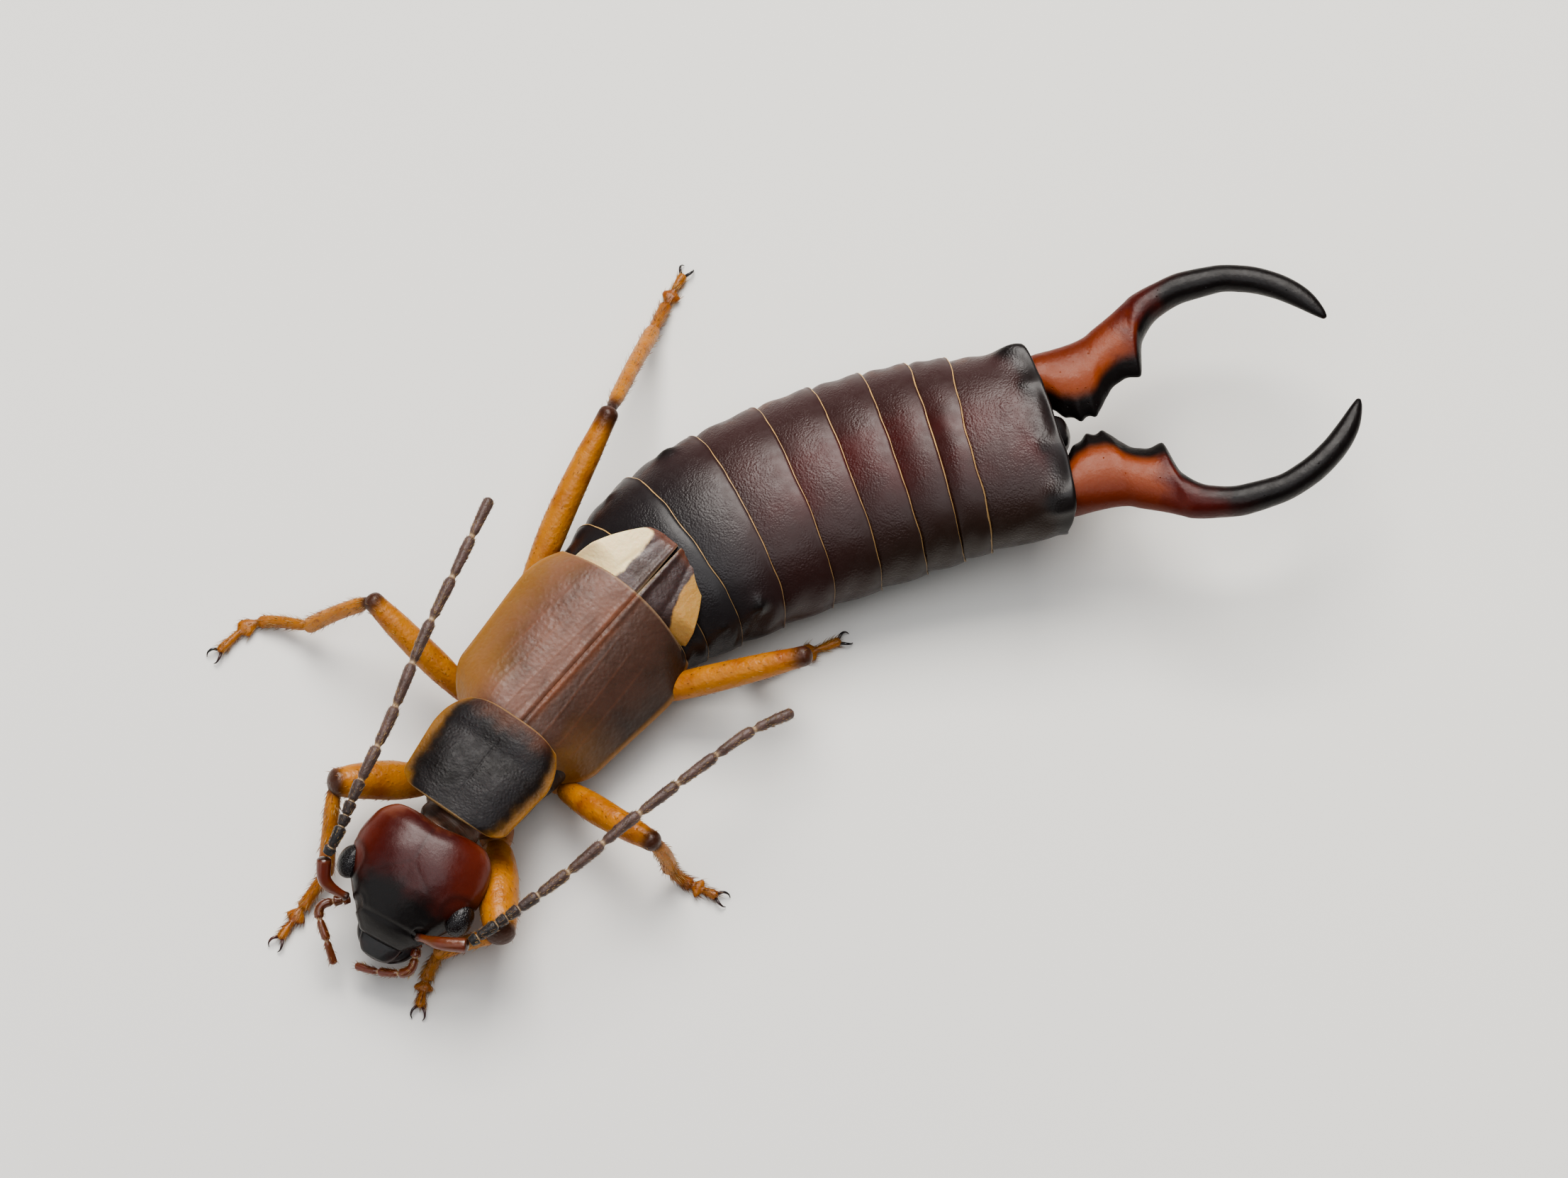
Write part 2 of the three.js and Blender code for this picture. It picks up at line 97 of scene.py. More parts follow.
class EarwigColours(bpy.types.PropertyGroup):
    """Colours that a user would change."""

    charcoal: colour("Charcoal", "Front plates of the abdomen and the middle of the front plate", 31, 27, 28)
    # This red-brown is also laid over the left folded wing as painted shade
    mahogany: colour("Mahogany", "Rear plates of the abdomen", 44, 22, 19)
    deep_red: colour("Deep red", "Middle of the rear plates", 66, 14, 11)
    # Painted shade on the left side of the rear plates and on the left cover's outer half, and a real tint at
    # the front plate's sides
    olive_and_shade: colour("Olive brown", "Left side of the rear plates", 34, 23, 13)
    # Painted sheen: the grey-pink reflection of the light on the right side of the rear plates
    painted_sheen: colour("Plum grey", "Right side of the rear plates", 70, 49, 49)
    rim: colour("Rim gold", "Pale rear edge of each abdomen plate", 186, 150, 98)
    cover: colour("Cover brown", "Middle of the wing covers", 112, 78, 64)
    # A real tint in the cover clouds, wings and feelers, and painted shade over the whole left wing cover
    dark_brown_and_shade: colour("Cover dark brown", "Left wing cover and the clouds on the right one", 62, 42, 33)
    cover_edge: colour("Cover gold", "Outer side of the wing covers", 142, 98, 40)
    cover_seam: colour("Cover seam", "Streaks along the seam of the wing covers", 134, 80, 52)
    cream: colour("Cream", "Pale patch of the folded wings", 240, 214, 164)
    # Painted shade: the left wing's pale patch, a darker copy of the cream
    cream_in_shade: colour("Ochre", "Pale patch of the left folded wing", 172, 130, 70)
    wing_grey: colour("Wing grey", "Inner part of the folded wings", 84, 68, 66)
    amber: colour("Amber", "Legs", 172, 110, 30)
    dark_amber: colour("Dark amber", "Knees, first feeler pieces and hips", 96, 48, 17)
    head_orange: colour("Head orange", "Sides of the head", 96, 34, 17)
    head_red: colour("Head red", "Top of the head", 60, 15, 11)
    black: colour("Black horn", "Front of the head, jaws and dark humps", 18, 13, 12)
    forceps_amber: colour("Forceps amber", "Broad bases of the forceps", 126, 56, 18)
    forceps_red: colour("Forceps red", "Curved arms of the forceps", 74, 18, 10)
    feeler: colour("Feeler brown", "Beads of the feelers", 86, 64, 58)
    joint: colour("Joint cream", "Soft rings between the beads of feelers and palps", 176, 150, 116)
    membrane: colour("Membrane", "Soft skin of the neck", 128, 112, 98)
    eye: colour("Eye black", "Faceted eyes", 20, 16, 18)
    floor: colour("Floor", "The plain floor", 226, 224, 218)


def sizes():
    return bpy.context.scene.earwig_sizes


def colours():
    return bpy.context.scene.earwig_colours


# Numbers and lines

def mix(low, high, share):
    return low + (high - low) * share


def ease(low, high, value):
    """0 below low, 1 above high, and a smooth rise between."""
    share = min(max((value - low) / (high - low), 0.0), 1.0)
    return share * share * (3 - 2 * share)


def hump(distance, radius):
    """1 in the middle of a rounded hump, falling to 0 away from it."""
    return math.exp(-(distance / radius) ** 2)


def round_end(distance, cap):
    """How wide a round end is at a distance from its tip, as a share of its full width."""
    return math.sqrt(max(1 - (1 - min(distance / cap, 1.0)) ** 2, 0.0))


def curve(start, end, out, into, t):
    """A smooth step from start to end, with the slopes that it leaves and arrives with."""
    bend = (2 * start - 2 * end + out + into) * t ** 3 + (3 * end - 3 * start - 2 * out - into) * t ** 2
    return bend + out * t + start


def profile(stations, where):
    """The values at a place between stations of (place, value, ...), without overshoot."""
    last = len(stations) - 1
    places = [station[0] for station in stations]
    where = min(max(where, places[0]), places[last])
    slot = min(max(bisect_right(places, where) - 1, 0), last - 1)

    def slope(index, column):
        rises = []
        for first in (index - 1, index):
            if 0 <= first < last:
                rise = stations[first + 1][column] - stations[first][column]
                rises.append(rise / (places[first + 1] - places[first]))
        if len(rises) == 1:
            return rises[0]
        before, after = rises
        return 0.0 if before * after <= 0 else 2 * before * after / (before + after)

    width = places[slot + 1] - places[slot]
    t = (where - places[slot]) / width
    values = []
    for column in range(1, len(stations[0])):
        out, into = slope(slot, column) * width, slope(slot + 1, column) * width
        values.append(curve(stations[slot][column], stations[slot + 1][column], out, into, t))
    return values


class Path:
    """A smooth line through points in millimetres, read by the share of its length."""

    STEPS = 24

    def __init__(self, points):
        inner = [Vector(point) for point in points]
        self.points = [2 * inner[0] - inner[1], *inner, 2 * inner[-1] - inner[-2]]
        self.spans = len(inner) - 1
        self.lengths = [0.0]
        before = self._spot(0.0)
        for step in range(1, self.spans * self.STEPS + 1):
            here = self._spot(step / self.STEPS)
            self.lengths.append(self.lengths[-1] + (here - before).length)
            before = here
        self.length = self.lengths[-1]

    def _spot(self, where):
        span = min(int(where), self.spans - 1)
        t = where - span
        a, b, c, d = self.points[span:span + 4]
        ab, bc, cd = (math.sqrt((q - p).length) for p, q in ((a, b), (b, c), (c, d)))
        out = ((b - a) / ab - (c - a) / (ab + bc) + (c - b) / bc) * bc
        into = ((c - b) / bc - (d - b) / (bc + cd) + (d - c) / cd) * bc
        return curve(b, c, out, into, t)

    def at(self, share):
        """The point at a share of the length."""
        target = min(max(share, 0.0), 1.0) * self.length
        slot = min(max(bisect_right(self.lengths, target) - 1, 0), len(self.lengths) - 2)
        part = (target - self.lengths[slot]) / (self.lengths[slot + 1] - self.lengths[slot])
        return self._spot((slot + part) / self.STEPS)

    def heading(self, share):
        """The way that the line goes at a share of its length."""
        near = 0.002
        share = min(max(share, near), 1 - near)
        return (self.at(share + near) - self.at(share - near)).normalized()


def frame_at(position, yaw=0.0, pitch=0.0, roll=0.0):
    """A turned group's place. In degrees it is pitched about X, then rolled about Y, then turned about Z."""
    turn = Matrix.Translation(position)
    for angle, axis in ((yaw, "Z"), (roll, "Y"), (pitch, "X")):
        turn = turn @ Matrix.Rotation(math.radians(angle), 4, axis)
    return turn


def outline(theta, square):
    """A point of a round or squarish outline. Theta is 0 on the back and grows to the animal's left."""
    x, z = math.sin(theta), math.cos(theta)
    reach = (abs(x) ** square + abs(z) ** square) ** (-1 / square)
    return x * reach, z * reach


class Tube:
    """A round skin along a path. Each station gives, at a share of the path, half the width and the height
    above and below the middle."""

    def __init__(self, points, stations, across=UP, square=2.0, caps=(0.1, 0.1)):
        self.path = Path(points)
        self.stations = stations
        self.across = across
        self.square = square
        self.caps = caps

    def section(self, share):
        wide, high, low = profile(self.stations, share)
        for cap, distance in zip(self.caps, (share * self.path.length, (1 - share) * self.path.length)):
            shrink = round_end(distance, cap)
            wide, high, low = wide * shrink, high * shrink, low * shrink
        return wide, high, low

    def point(self, around, share):
        heading = self.path.heading(share)
        side = self.across.cross(heading).normalized()
        up = heading.cross(side)
        wide, high, low = self.section(share)
        x, z = outline(math.tau * around - math.pi, self.square)
        return self.path.at(share) - side * x * wide + up * z * (high if z > 0 else low)

    def normal(self, around, share):
        """The way out of the skin, from two short steps on it."""
        step = 0.004
        share = min(max(share, 2 * step), 1 - 2 * step)
        round_it = self.point(around + step, share) - self.point(around - step, share)
        along_it = self.point(around, share + step) - self.point(around, share - step)
        out = round_it.cross(along_it).normalized()
        return out if out.dot(self.point(around, share) - self.path.at(share)) > 0 else -out


def round_tube(points, shape, caps, radius=1.0, across=UP):
    """A tube of round sections. Its shape gives the sections' sizes as shares of the radius."""
    stations = [(share, size * radius, size * radius, size * radius) for share, size in shape]
    return Tube(points, stations, across=across, caps=caps)


# Meshes and pieces

def from_grid(columns, rows, shape, closed):
    """A skin from a grid. shape(across, along) gives a point in mm and the marks that finishes read there."""
    mesh = bmesh.new()
    bmesh.ops.create_grid(mesh, x_segments=columns, y_segments=rows, size=0.5)
    layers = {name: mesh.verts.layers.float.new(name) for name in shape(0.5, 0.5)[1]}
    for vert in mesh.verts:
        spot, marks = shape(vert.co.x + 0.5, vert.co.y + 0.5)
        vert.co = spot
        for name, layer in layers.items():
            vert[layer] = marks[name]
    bmesh.ops.remove_doubles(mesh, verts=mesh.verts, dist=MERGE)
    if closed:
        bmesh.ops.holes_fill(mesh, edges=mesh.edges, sides=0)
    bmesh.ops.recalc_face_normals(mesh, faces=mesh.faces)
    return mesh


def spread(count):
    """Shares from 0 to 1 that lie closer together towards both ends."""
    return [0.5 - 0.5 * math.cos(math.pi * step / count) for step in range(count + 1)]


def tube_mesh(tube, columns, rows, marks=lambda share: {}, dent=None):
    """The closed skin of a tube. dent(share) gives how far a row stands out from the plain shape."""
    shares = spread(rows)

    def shape(across, along):
        share = shares[round(along * rows)]
        spot = tube.point(across, share)
        if dent is not None:
            spot += (spot - tube.path.at(share)).normalized() * dent(share)
        return spot, marks(share)

    return from_grid(columns, rows, shape, closed=True)


def add_object(name, data, finish):
    """Links a mesh as a smooth piece that rides on the body."""
    data.shade_smooth()
    data.materials.append(finish)
    piece = bpy.data.objects.new(name, data)
    bpy.context.scene.collection.objects.link(piece)
    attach(piece, "root")
    return piece


def add_piece(name, mesh, finish, nodes=(), levels=1, turn=None):
    """Puts a mesh in mm into the frame, none of it below the floor."""
    if turn is not None:
        bmesh.ops.transform(mesh, matrix=turn, verts=mesh.verts)
    bmesh.ops.translate(mesh, vec=-BELLY, verts=mesh.verts)
    for vert in mesh.verts:
        vert.co.z = max(vert.co.z, FLOOR_CLEARANCE)
    bmesh.ops.scale(mesh, vec=(MM, MM, MM), verts=mesh.verts)
    data = bpy.data.meshes.new(name)
    mesh.to_mesh(data)
    mesh.free()
    piece = add_object(name, data, finish)
    if levels:
        rounding = piece.modifiers.new("Rounding", "SUBSURF")
        rounding.levels = levels
        rounding.render_levels = levels
        rounding.use_limit_surface = False
    if nodes:
        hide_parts(*nodes)


# Finishes

# The node that mixes two values has sockets for each kind of value. These are its sockets for colours
MIX_FIRST, MIX_SECOND, MIX_RESULT = 6, 7, 2


class Finish:
    """A material under way. Its base colour starts as one and takes on coats of others."""

    def __init__(self, name, **sockets):
        self.material = bpy.data.materials.new(name)
        self.material.use_nodes = True
        self.nodes = self.material.node_tree.nodes
        self.links = self.material.node_tree.links
        self.shader = self.nodes["Principled BSDF"]
        self.place = self.nodes.new("ShaderNodeTexCoord").outputs["Object"]
        self.base = None
        for socket, value in sockets.items():
            self.shader.inputs[socket.replace("_", " ").title().replace("Ior", "IOR")].default_value = value

    def put(self, value, socket):
        if isinstance(value, bpy.types.NodeSocket):
            self.links.new(value, socket)
        elif hasattr(value, "__len__"):
            socket.default_value = (*tuple(value)[:3], 1.0)
        else:
            socket.default_value = value

    def mark(self, name):
        """The numbers that a mesh carries under a name."""
        node = self.nodes.new("ShaderNodeAttribute")
        node.attribute_name = name
        return node.outputs["Fac"]

    def noise(self, per_mm, detail=3.0, rough=0.5, twist=0.0, stretch=None):
        """A cloud. It may be turned by degrees about Z, and drawn out by sizes along its axes."""
        node = self.nodes.new("ShaderNodeTexNoise")
        place = self.place
        if stretch is not None:
            mapping = self.nodes.new("ShaderNodeMapping")
            mapping.inputs["Rotation"].default_value = (0.0, 0.0, math.radians(stretch[0]))
            mapping.inputs["Scale"].default_value = stretch[1]
            self.put(place, mapping.inputs["Vector"])
            place = mapping.outputs["Vector"]
        names = ("Vector", "Scale", "Detail", "Roughness", "Distortion")
        for name, value in zip(names, (place, per_mm / MM, detail, rough, twist)):
            self.put(value, node.inputs[name])
        return node.outputs["Fac"]

    def cells(self, per_mm, feature="SMOOTH_F1"):
        node = self.nodes.new("ShaderNodeTexVoronoi")
        node.feature = feature
        self.put(per_mm / MM, node.inputs["Scale"])
        self.put(self.place, node.inputs["Vector"])
        return node.outputs["Distance"]

    def span(self, value, low, high, start=0.0, end=1.0):
        """The value drawn out smoothly from low..high to start..end."""
        node = self.nodes.new("ShaderNodeMapRange")
        node.interpolation_type = "SMOOTHSTEP"
        for socket, part in zip(node.inputs, (value, low, high, start, end)):
            self.put(part, socket)
        return node.outputs["Result"]

    def maths(self, operation, *values):
        node = self.nodes.new("ShaderNodeMath")
        node.operation = operation
        for socket, part in zip(node.inputs, values):
            self.put(part, socket)
        return node.outputs["Value"]

    def times(self, *factors):
        """The product of all factors."""
        product = factors[0]
        for factor in factors[1:]:
            product = self.maths("MULTIPLY", product, factor)
        return product

    def wobbled(self, value, cloud, reach):
        """The value, pushed to and fro by a cloud."""
        return self.maths("ADD", value, self.span(cloud, 0.2, 0.8, -reach, reach))

    def mottled(self, start, end, per_mm, detail=4.0):
        """A value that changes from place to place between start and end."""
        return self.span(self.noise(per_mm, detail), 0.3, 0.7, start, end)

    def blend(self, share, first, second):
        node = self.nodes.new("ShaderNodeMix")
        node.data_type = "RGBA"
        self.put(share, node.inputs["Factor"])
        self.put(first, node.inputs[MIX_FIRST])
        self.put(second, node.inputs[MIX_SECOND])
        return node.outputs[MIX_RESULT]

    def coat(self, tint, *shares):
        """Lays a colour over the base, as thick as the product of the shares."""
        self.base = self.blend(self.times(*shares), self.base, tint)

    def done(self, rough, *bumps):
        """The finished material. Its bumps, of (height, depth in mm), lie over each other."""
        self.put(self.base, self.shader.inputs["Base Color"])
        self.put(rough, self.shader.inputs["Roughness"])
        lower = None
        for height, depth in bumps:
            node = self.nodes.new("ShaderNodeBump")
            self.put(depth * MM, node.inputs["Distance"])
            self.put(height, node.inputs["Height"])
            if lower is not None:
                self.put(lower, node.inputs["Normal"])
            lower = node.outputs["Normal"]
        if lower is not None:
            self.put(lower, self.shader.inputs["Normal"])
        return self.material


def plate_finish():
    """Abdomen plates: charcoal in front and mahogany behind, pebbled, with a pale rear rim. Painted shade
    darkens the left side and dims its rims, and a painted sheen greys the right side.
    """
    finish = Finish("abdomen_plate_finish", specular_ior_level=0.32, coat_weight=0.05, coat_roughness=0.2)
    tint = colours()
    tail, across, edge = finish.mark("tail"), finish.mark("across"), finish.mark("edge")
    finish.base = finish.blend(finish.span(tail, 0.22, 0.42), tint.charcoal, tint.mahogany)
    middle = finish.span(finish.maths("ABSOLUTE", across), 0.62, 0.1)
    red_cloud = finish.span(finish.noise(1.1, 4.0, 0.55), 0.32, 0.66, 0.35, 1.0)
    finish.coat(tint.deep_red, middle, red_cloud, finish.span(tail, 0.3, 0.5))
    # Painted shade: the left side of the rear plates is darkened to a greenish brown
    finish.coat(tint.olive_and_shade, finish.span(across, 0.45, 0.95), finish.span(tail, 0.4, 0.7), 0.75)
    # Painted sheen: the right side of the rear plates is greyed pink like a reflection of the light
    finish.coat(tint.painted_sheen, finish.span(across, -0.25, -0.85), finish.span(tail, 0.1, 0.5), 0.6)
    finish.coat(tint.black, finish.mark("dark"))
    spots = finish.span(finish.noise(3.0), 0.48, 0.66, 0.0, 0.5)
    finish.coat(tint.dark_amber, finish.mark("fold"), spots, finish.span(across, -0.5, -0.9))
    rim_width = sizes().rim_width / MM
    rim = finish.maths("LESS_THAN", edge, finish.mottled(0.6 * rim_width, rim_width, 5.0, 2.0))
    # Painted shade: the pale rims are dimmed towards the left side
    finish.coat(tint.rim, rim, finish.mark("pale"), finish.span(across, 0.9, -0.2, 0.4, 1.0))
    fine = finish.times(finish.noise(30.0, 3.0, 0.6), 0.25)
    grain = finish.maths("SUBTRACT", fine, finish.cells(34.0))
    zone = finish.times(finish.span(edge, 0.05, 0.3), finish.span(finish.noise(1.6), 0.25, 0.55))
    pebbles, waves = finish.times(grain, zone), finish.noise(3.0, 2.0)
    return finish.done(finish.mottled(0.32, 0.42, 7.0, 3.0), (pebbles, 0.006), (waves, 0.008))


def horn_finish(name, rough_low, rough_high, red=1.0):
    """Smooth black horn of jaws, upper lip, claws and end plate, clouded with red."""
    finish = Finish(name, coat_weight=0.3, coat_roughness=0.12)
    tint = colours()
    red_cloud = finish.span(finish.noise(2.5), 0.45, 0.8, 0.0, red)
    finish.base = finish.blend(red_cloud, tint.black, tint.forceps_red)
    return finish.done(finish.mottled(rough_low, rough_high, 9.0, 3.0), (finish.noise(14.0, 4.0), 0.006))


def forceps_finish():
    """Amber broad bases with a black toothed inner edge, and black arms that start dark red."""
    finish = Finish(
        "forceps_finish", specular_ior_level=0.2, coat_weight=0.04, coat_roughness=0.15, subsurface_weight=0.1,
        subsurface_scale=0.3 * MM)
    tint = colours()
    along, inner = finish.mark("along"), finish.mark("inner")
    there = finish.wobbled(along, finish.noise(2.2, 4.0), 0.05)
    finish.base = finish.blend(finish.span(there, 0.3, 0.42), tint.forceps_amber, tint.forceps_red)
    finish.coat(tint.black, finish.span(there, 0.38, 0.56))
    finish.coat(tint.black, finish.span(inner, 0.35, 0.7), finish.span(along, 0.5, 0.44))
    finish.coat(tint.forceps_red, finish.span(inner, 0.0, -0.9, 0.0, 0.7), finish.span(along, 0.66, 0.4))
    pits = finish.span(finish.cells(6.0, "F1"), 0.02, 0.09, -1.0, 0.0)
    return finish.done(finish.mottled(0.3, 0.42, 6.0), (finish.noise(16.0, 4.0), 0.006), (pits, 0.01))


def cover_finish():
    """Wing covers: brown with a golden outer side, streaks along the seam and pale veins. The right cover's
    gold outer half is partly a painted sheen, and the left cover is darkened with painted shade.
    """
    finish = Finish(
        "wing_cover_finish", specular_ior_level=0.38, subsurface_weight=0.12, subsurface_scale=0.25 * MM)
    tint = colours()
    across, along = finish.mark("across"), finish.mark("along")
    left = finish.span(finish.mark("side"), 0.0, 0.1)
    cloud = finish.noise(1.3, 5.0, 0.6)
    there = finish.wobbled(across, cloud, 0.12)
    finish.base = finish.blend(finish.span(cloud, 0.35, 0.75), tint.cover, tint.dark_brown_and_shade)
    # Painted shade: the whole left cover is darkened to dark brown
    finish.coat(tint.dark_brown_and_shade, left, 0.75)
    # The outer half is gold on the right, partly a painted sheen, and greenish brown on the left, painted shade
    # of that gold
    finish.coat(finish.blend(left, tint.cover_edge, tint.olive_and_shade), finish.span(there, 0.5, 1.05), 0.75)
    finish.coat(tint.cover_edge, finish.span(across, 0.93, 0.99))
    finish.coat(tint.cover_edge, finish.span(along, 0.5, 0.05), finish.span(there, 0.3, 0.7), 0.6)
    streak = finish.noise(2.0, 4.0, 0.6, stretch=(0, (1.0, 0.2, 1.0)))
    finish.coat(tint.cover_seam, finish.span(across, 0.16, 0.02), finish.span(streak, 0.4, 0.62, 0.0, 0.7))
    finish.coat(tint.cover_seam, finish.span(finish.mark("vein"), 0.2, 1.0), 0.14)
    finish.coat(tint.charcoal, finish.span(along, 0.16, 0.04), finish.span(across, 0.75, 0.3), 0.6)
    finish.coat(tint.joint, finish.span(along, 0.98, 0.995), 0.35)
    grain = finish.maths("ADD", finish.cells(15.0), finish.times(finish.noise(24.0, 3.0), 0.5))
    return finish.done(finish.mottled(0.38, 0.5, 6.0), (grain, 0.008), (finish.noise(2.0, 2.0), 0.015))


def wing_finish():
    """Folded wings: a pale patch at the outer side and grey-brown towards the seam. The left wing and its patch
    are darkened with painted shade.
    """
    finish = Finish("wing_tip_finish", subsurface_weight=0.2, subsurface_scale=0.25 * MM)
    tint = colours()
    across, along = finish.mark("across"), finish.mark("along")
    left = finish.span(finish.mark("side"), 0.0, 0.1)
    cloud = finish.noise(2.0, 5.0, 0.6)

    def by_side(on_right, on_left):
        return finish.span(left, 0.0, 1.0, on_right, on_left)

    sideways = finish.times(finish.maths("SUBTRACT", across, by_side(0.92, 0.86)), by_side(1.0, 1.35))
    rearwards = finish.maths("SUBTRACT", along, by_side(0.4, 0.5))
    squares = finish.maths("ADD", finish.times(sideways, sideways), finish.times(rearwards, rearwards))
    away = finish.wobbled(finish.maths("SQRT", squares), cloud, 0.05)
    finish.base = finish.blend(finish.span(cloud, 0.35, 0.7), tint.wing_grey, tint.dark_brown_and_shade)
    # Painted shade: the left folded wing is darkened with the rear plates' red-brown
    finish.coat(tint.mahogany, left, 0.6)
    finish.coat(tint.cover_seam, finish.span(along, 0.8, 1.0), 0.4)
    patch = finish.span(away, by_side(0.56, 0.47), by_side(0.5, 0.41))
    # Painted shade: the left wing's patch is a darker yellow-brown copy of the cream one
    finish.coat(finish.blend(left, tint.cream, tint.cream_in_shade), patch)
    finish.coat(tint.joint, finish.span(across, 0.06, 0.0), 0.5)
    return finish.done(
        finish.mottled(0.34, 0.5, 6.0), (finish.noise(18.0, 4.0), 0.01), (finish.noise(3.0, 3.0), 0.03))


def front_plate_finish():
    """Front plate: a black, finely wrinkled disc with clear amber sides and a pale rim."""
    finish = Finish(
        "front_plate_finish", specular_ior_level=0.2, subsurface_weight=0.1, subsurface_scale=0.2 * MM)
    tint = colours()
    cloud = finish.noise(2.4, 5.0)
    across = finish.wobbled(finish.mark("across"), cloud, 0.08)
    along = finish.wobbled(finish.mark("along"), cloud, 0.08)
    finish.base = finish.blend(finish.span(finish.noise(1.5), 0.4, 0.7), tint.charcoal, tint.black)
    finish.coat(tint.cover_seam, finish.span(along, 0.78, 1.0), 0.3)
    finish.coat(tint.olive_and_shade, finish.span(across, 0.66, 0.88), 0.85)
    finish.coat(tint.cover_edge, finish.span(across, 0.76, 1.0), 0.8)
    finish.coat(tint.rim, finish.span(finish.mark("rim"), 0.6, 1.0), 0.4)
    wrinkles = finish.noise(16.0, 4.0, 0.6, 0.8, stretch=(-4, (0.5, 1.0, 1.0)))
    return finish.done(finish.mottled(0.36, 0.5, 8.0), (wrinkles, 0.007), (finish.cells(26.0), 0.005))


def head_finish():
    """Head: orange-brown sides, a red crown and a black front, smooth and glossy."""
    finish = Finish(
        "head_finish", specular_ior_level=0.3, coat_weight=0.08, coat_roughness=0.2, subsurface_weight=0.08,
        subsurface_scale=0.3 * MM)
    tint = colours()
    cloud = finish.noise(1.8, 4.0)
    aside = finish.wobbled(finish.maths("ABSOLUTE", finish.mark("across")), cloud, 0.12)
    front = finish.wobbled(finish.mark("along"), cloud, 0.12)
    finish.base = finish.blend(finish.span(aside, 0.35, 1.0), tint.head_red, tint.head_orange)
    finish.coat(tint.black, finish.span(front, 0.38, 0.72))
    finish.coat(tint.cover_seam, finish.span(front, 0.1, 0.0), 0.3)
    finish.coat(tint.black, finish.mark("seam"), 0.25)
    finish.coat(tint.black, finish.mark("dark"))
    return finish.done(
        finish.mottled(0.28, 0.38, 8.0), (finish.noise(20.0, 4.0), 0.003), (finish.noise(3.0, 2.0), 0.006))


def eye_finish():
    """Black eyes of many small facets."""
    finish = Finish("eye_finish", specular_ior_level=0.35, coat_weight=0.3, coat_roughness=0.1)
    facets_per_mm = 42.0
    edges = finish.span(finish.cells(facets_per_mm, "DISTANCE_TO_EDGE"), 0.0, 0.08)
    finish.base = finish.blend(edges, colours().black, colours().eye)
    return finish.done(0.22, (finish.times(finish.cells(facets_per_mm, "F1"), -1.0), 0.012))


def leg_finish():
    """Clear amber legs, darker at the knees."""
    finish = Finish("leg_finish", specular_ior_level=0.4, subsurface_weight=0.16, subsurface_scale=0.2 * MM)
    tint = colours()
    finish.base = finish.blend(finish.span(finish.noise(2.6, 4.0), 0.4, 0.9), tint.amber, tint.forceps_amber)
    finish.coat(tint.dark_amber, finish.mark("dark"))
    finish.coat(tint.black, finish.mark("black"))
    finish.coat(tint.dark_amber, finish.span(finish.cells(9.0, "F1"), 0.012, 0.03, 0.6, 0.0))
    return finish.done(
        finish.mottled(0.3, 0.45, 8.0), (finish.noise(16.0, 4.0), 0.01), (finish.noise(4.0, 3.0), 0.02))


def feeler_finish():
    """Grey-brown beads with pale joints."""
    finish = Finish("feeler_finish", sheen_weight=0.15)
    tint = colours()
    finish.base = finish.blend(finish.mottled(0.0, 1.0, 5.0), tint.feeler, tint.dark_brown_and_shade)
    finish.coat(tint.black, finish.span(finish.mark("along"), 0.3, 0.02))
    finish.coat(tint.joint, finish.mark("joint"))
    return finish.done(0.5, (finish.cells(34.0), 0.006))


def dark_amber_finish():
    """First feeler pieces, palps and the mouth's underside."""
    finish = Finish(
        "dark_amber_finish", coat_weight=0.4, coat_roughness=0.12, subsurface_weight=0.15,
        subsurface_scale=0.3 * MM)
    tint = colours()
    finish.base = finish.blend(finish.span(finish.noise(2.5), 0.35, 0.7), tint.dark_amber, tint.head_orange)
    finish.coat(tint.black, finish.mark("dark"))
    finish.coat(tint.joint, finish.mark("joint"))
    return finish.done(0.28, (finish.noise(14.0, 4.0), 0.006))


def skin_finish():
    """Soft folded skin between the hard parts."""
    finish = Finish("trunk_skin_finish", subsurface_weight=0.3, subsurface_scale=0.3 * MM)
    tint = colours()
    finish.base = finish.blend(finish.span(finish.noise(2.0), 0.35, 0.7), tint.membrane, tint.dark_amber)
    finish.coat(tint.black, finish.span(finish.noise(1.2), 0.45, 0.6), 0.8)
    finish.coat(tint.charcoal, finish.span(finish.mark("along"), 0.24, 0.4))
    return finish.done(0.45, (finish.noise(9.0, 3.0, stretch=(4, (0.3, 1.0, 0.3))), 0.03))


def bristle_finish(name, darker):
    """Fine golden bristles, clouded with a darker colour."""
    finish = Finish(name, subsurface_weight=0.2, subsurface_scale=0.05 * MM)
    finish.base = finish.blend(finish.mottled(0.0, 1.0, 3.0, 3.0), colours().rim, darker)
    return finish.done(0.4)


# Abdomen: plates along a spine that bends to the animal's left and rises to the tail

SPINE = Path([
    (-0.28, -0.6, 0.9), (-0.27, 0.38, 0.92), (-0.1, 1.26, 0.95), (0.26, 2.2, 0.98), (0.69, 3.04, 1.02),
    (1.14, 3.75, 1.1), (1.6, 4.37, 1.22), (2.03, 4.87, 1.36), (2.42, 5.26, 1.48), (3.06, 5.98, 1.68),
])
PLATE_EDGES = (0.0, 0.5, 1.0, 1.78, 2.73, 3.66, 4.51, 5.29, 5.97, 6.47, SPINE.length)
PLATE_HALF_WIDTHS = (1.15, 1.28, 1.42, 1.57, 1.65, 1.68, 1.69, 1.67, 1.63, 1.57, 1.5)
PLATE_HEIGHTS = (0.66, 0.7, 0.84, 1.0, 1.04, 1.04, 1.02, 1.0, 0.97, 0.93, 0.74)
PLATE_DEPTHS = (0.72, 0.9, 1.04, 1.08, 1.12, 1.08, 1.02, 0.96, 0.9, 0.84, 0.66)
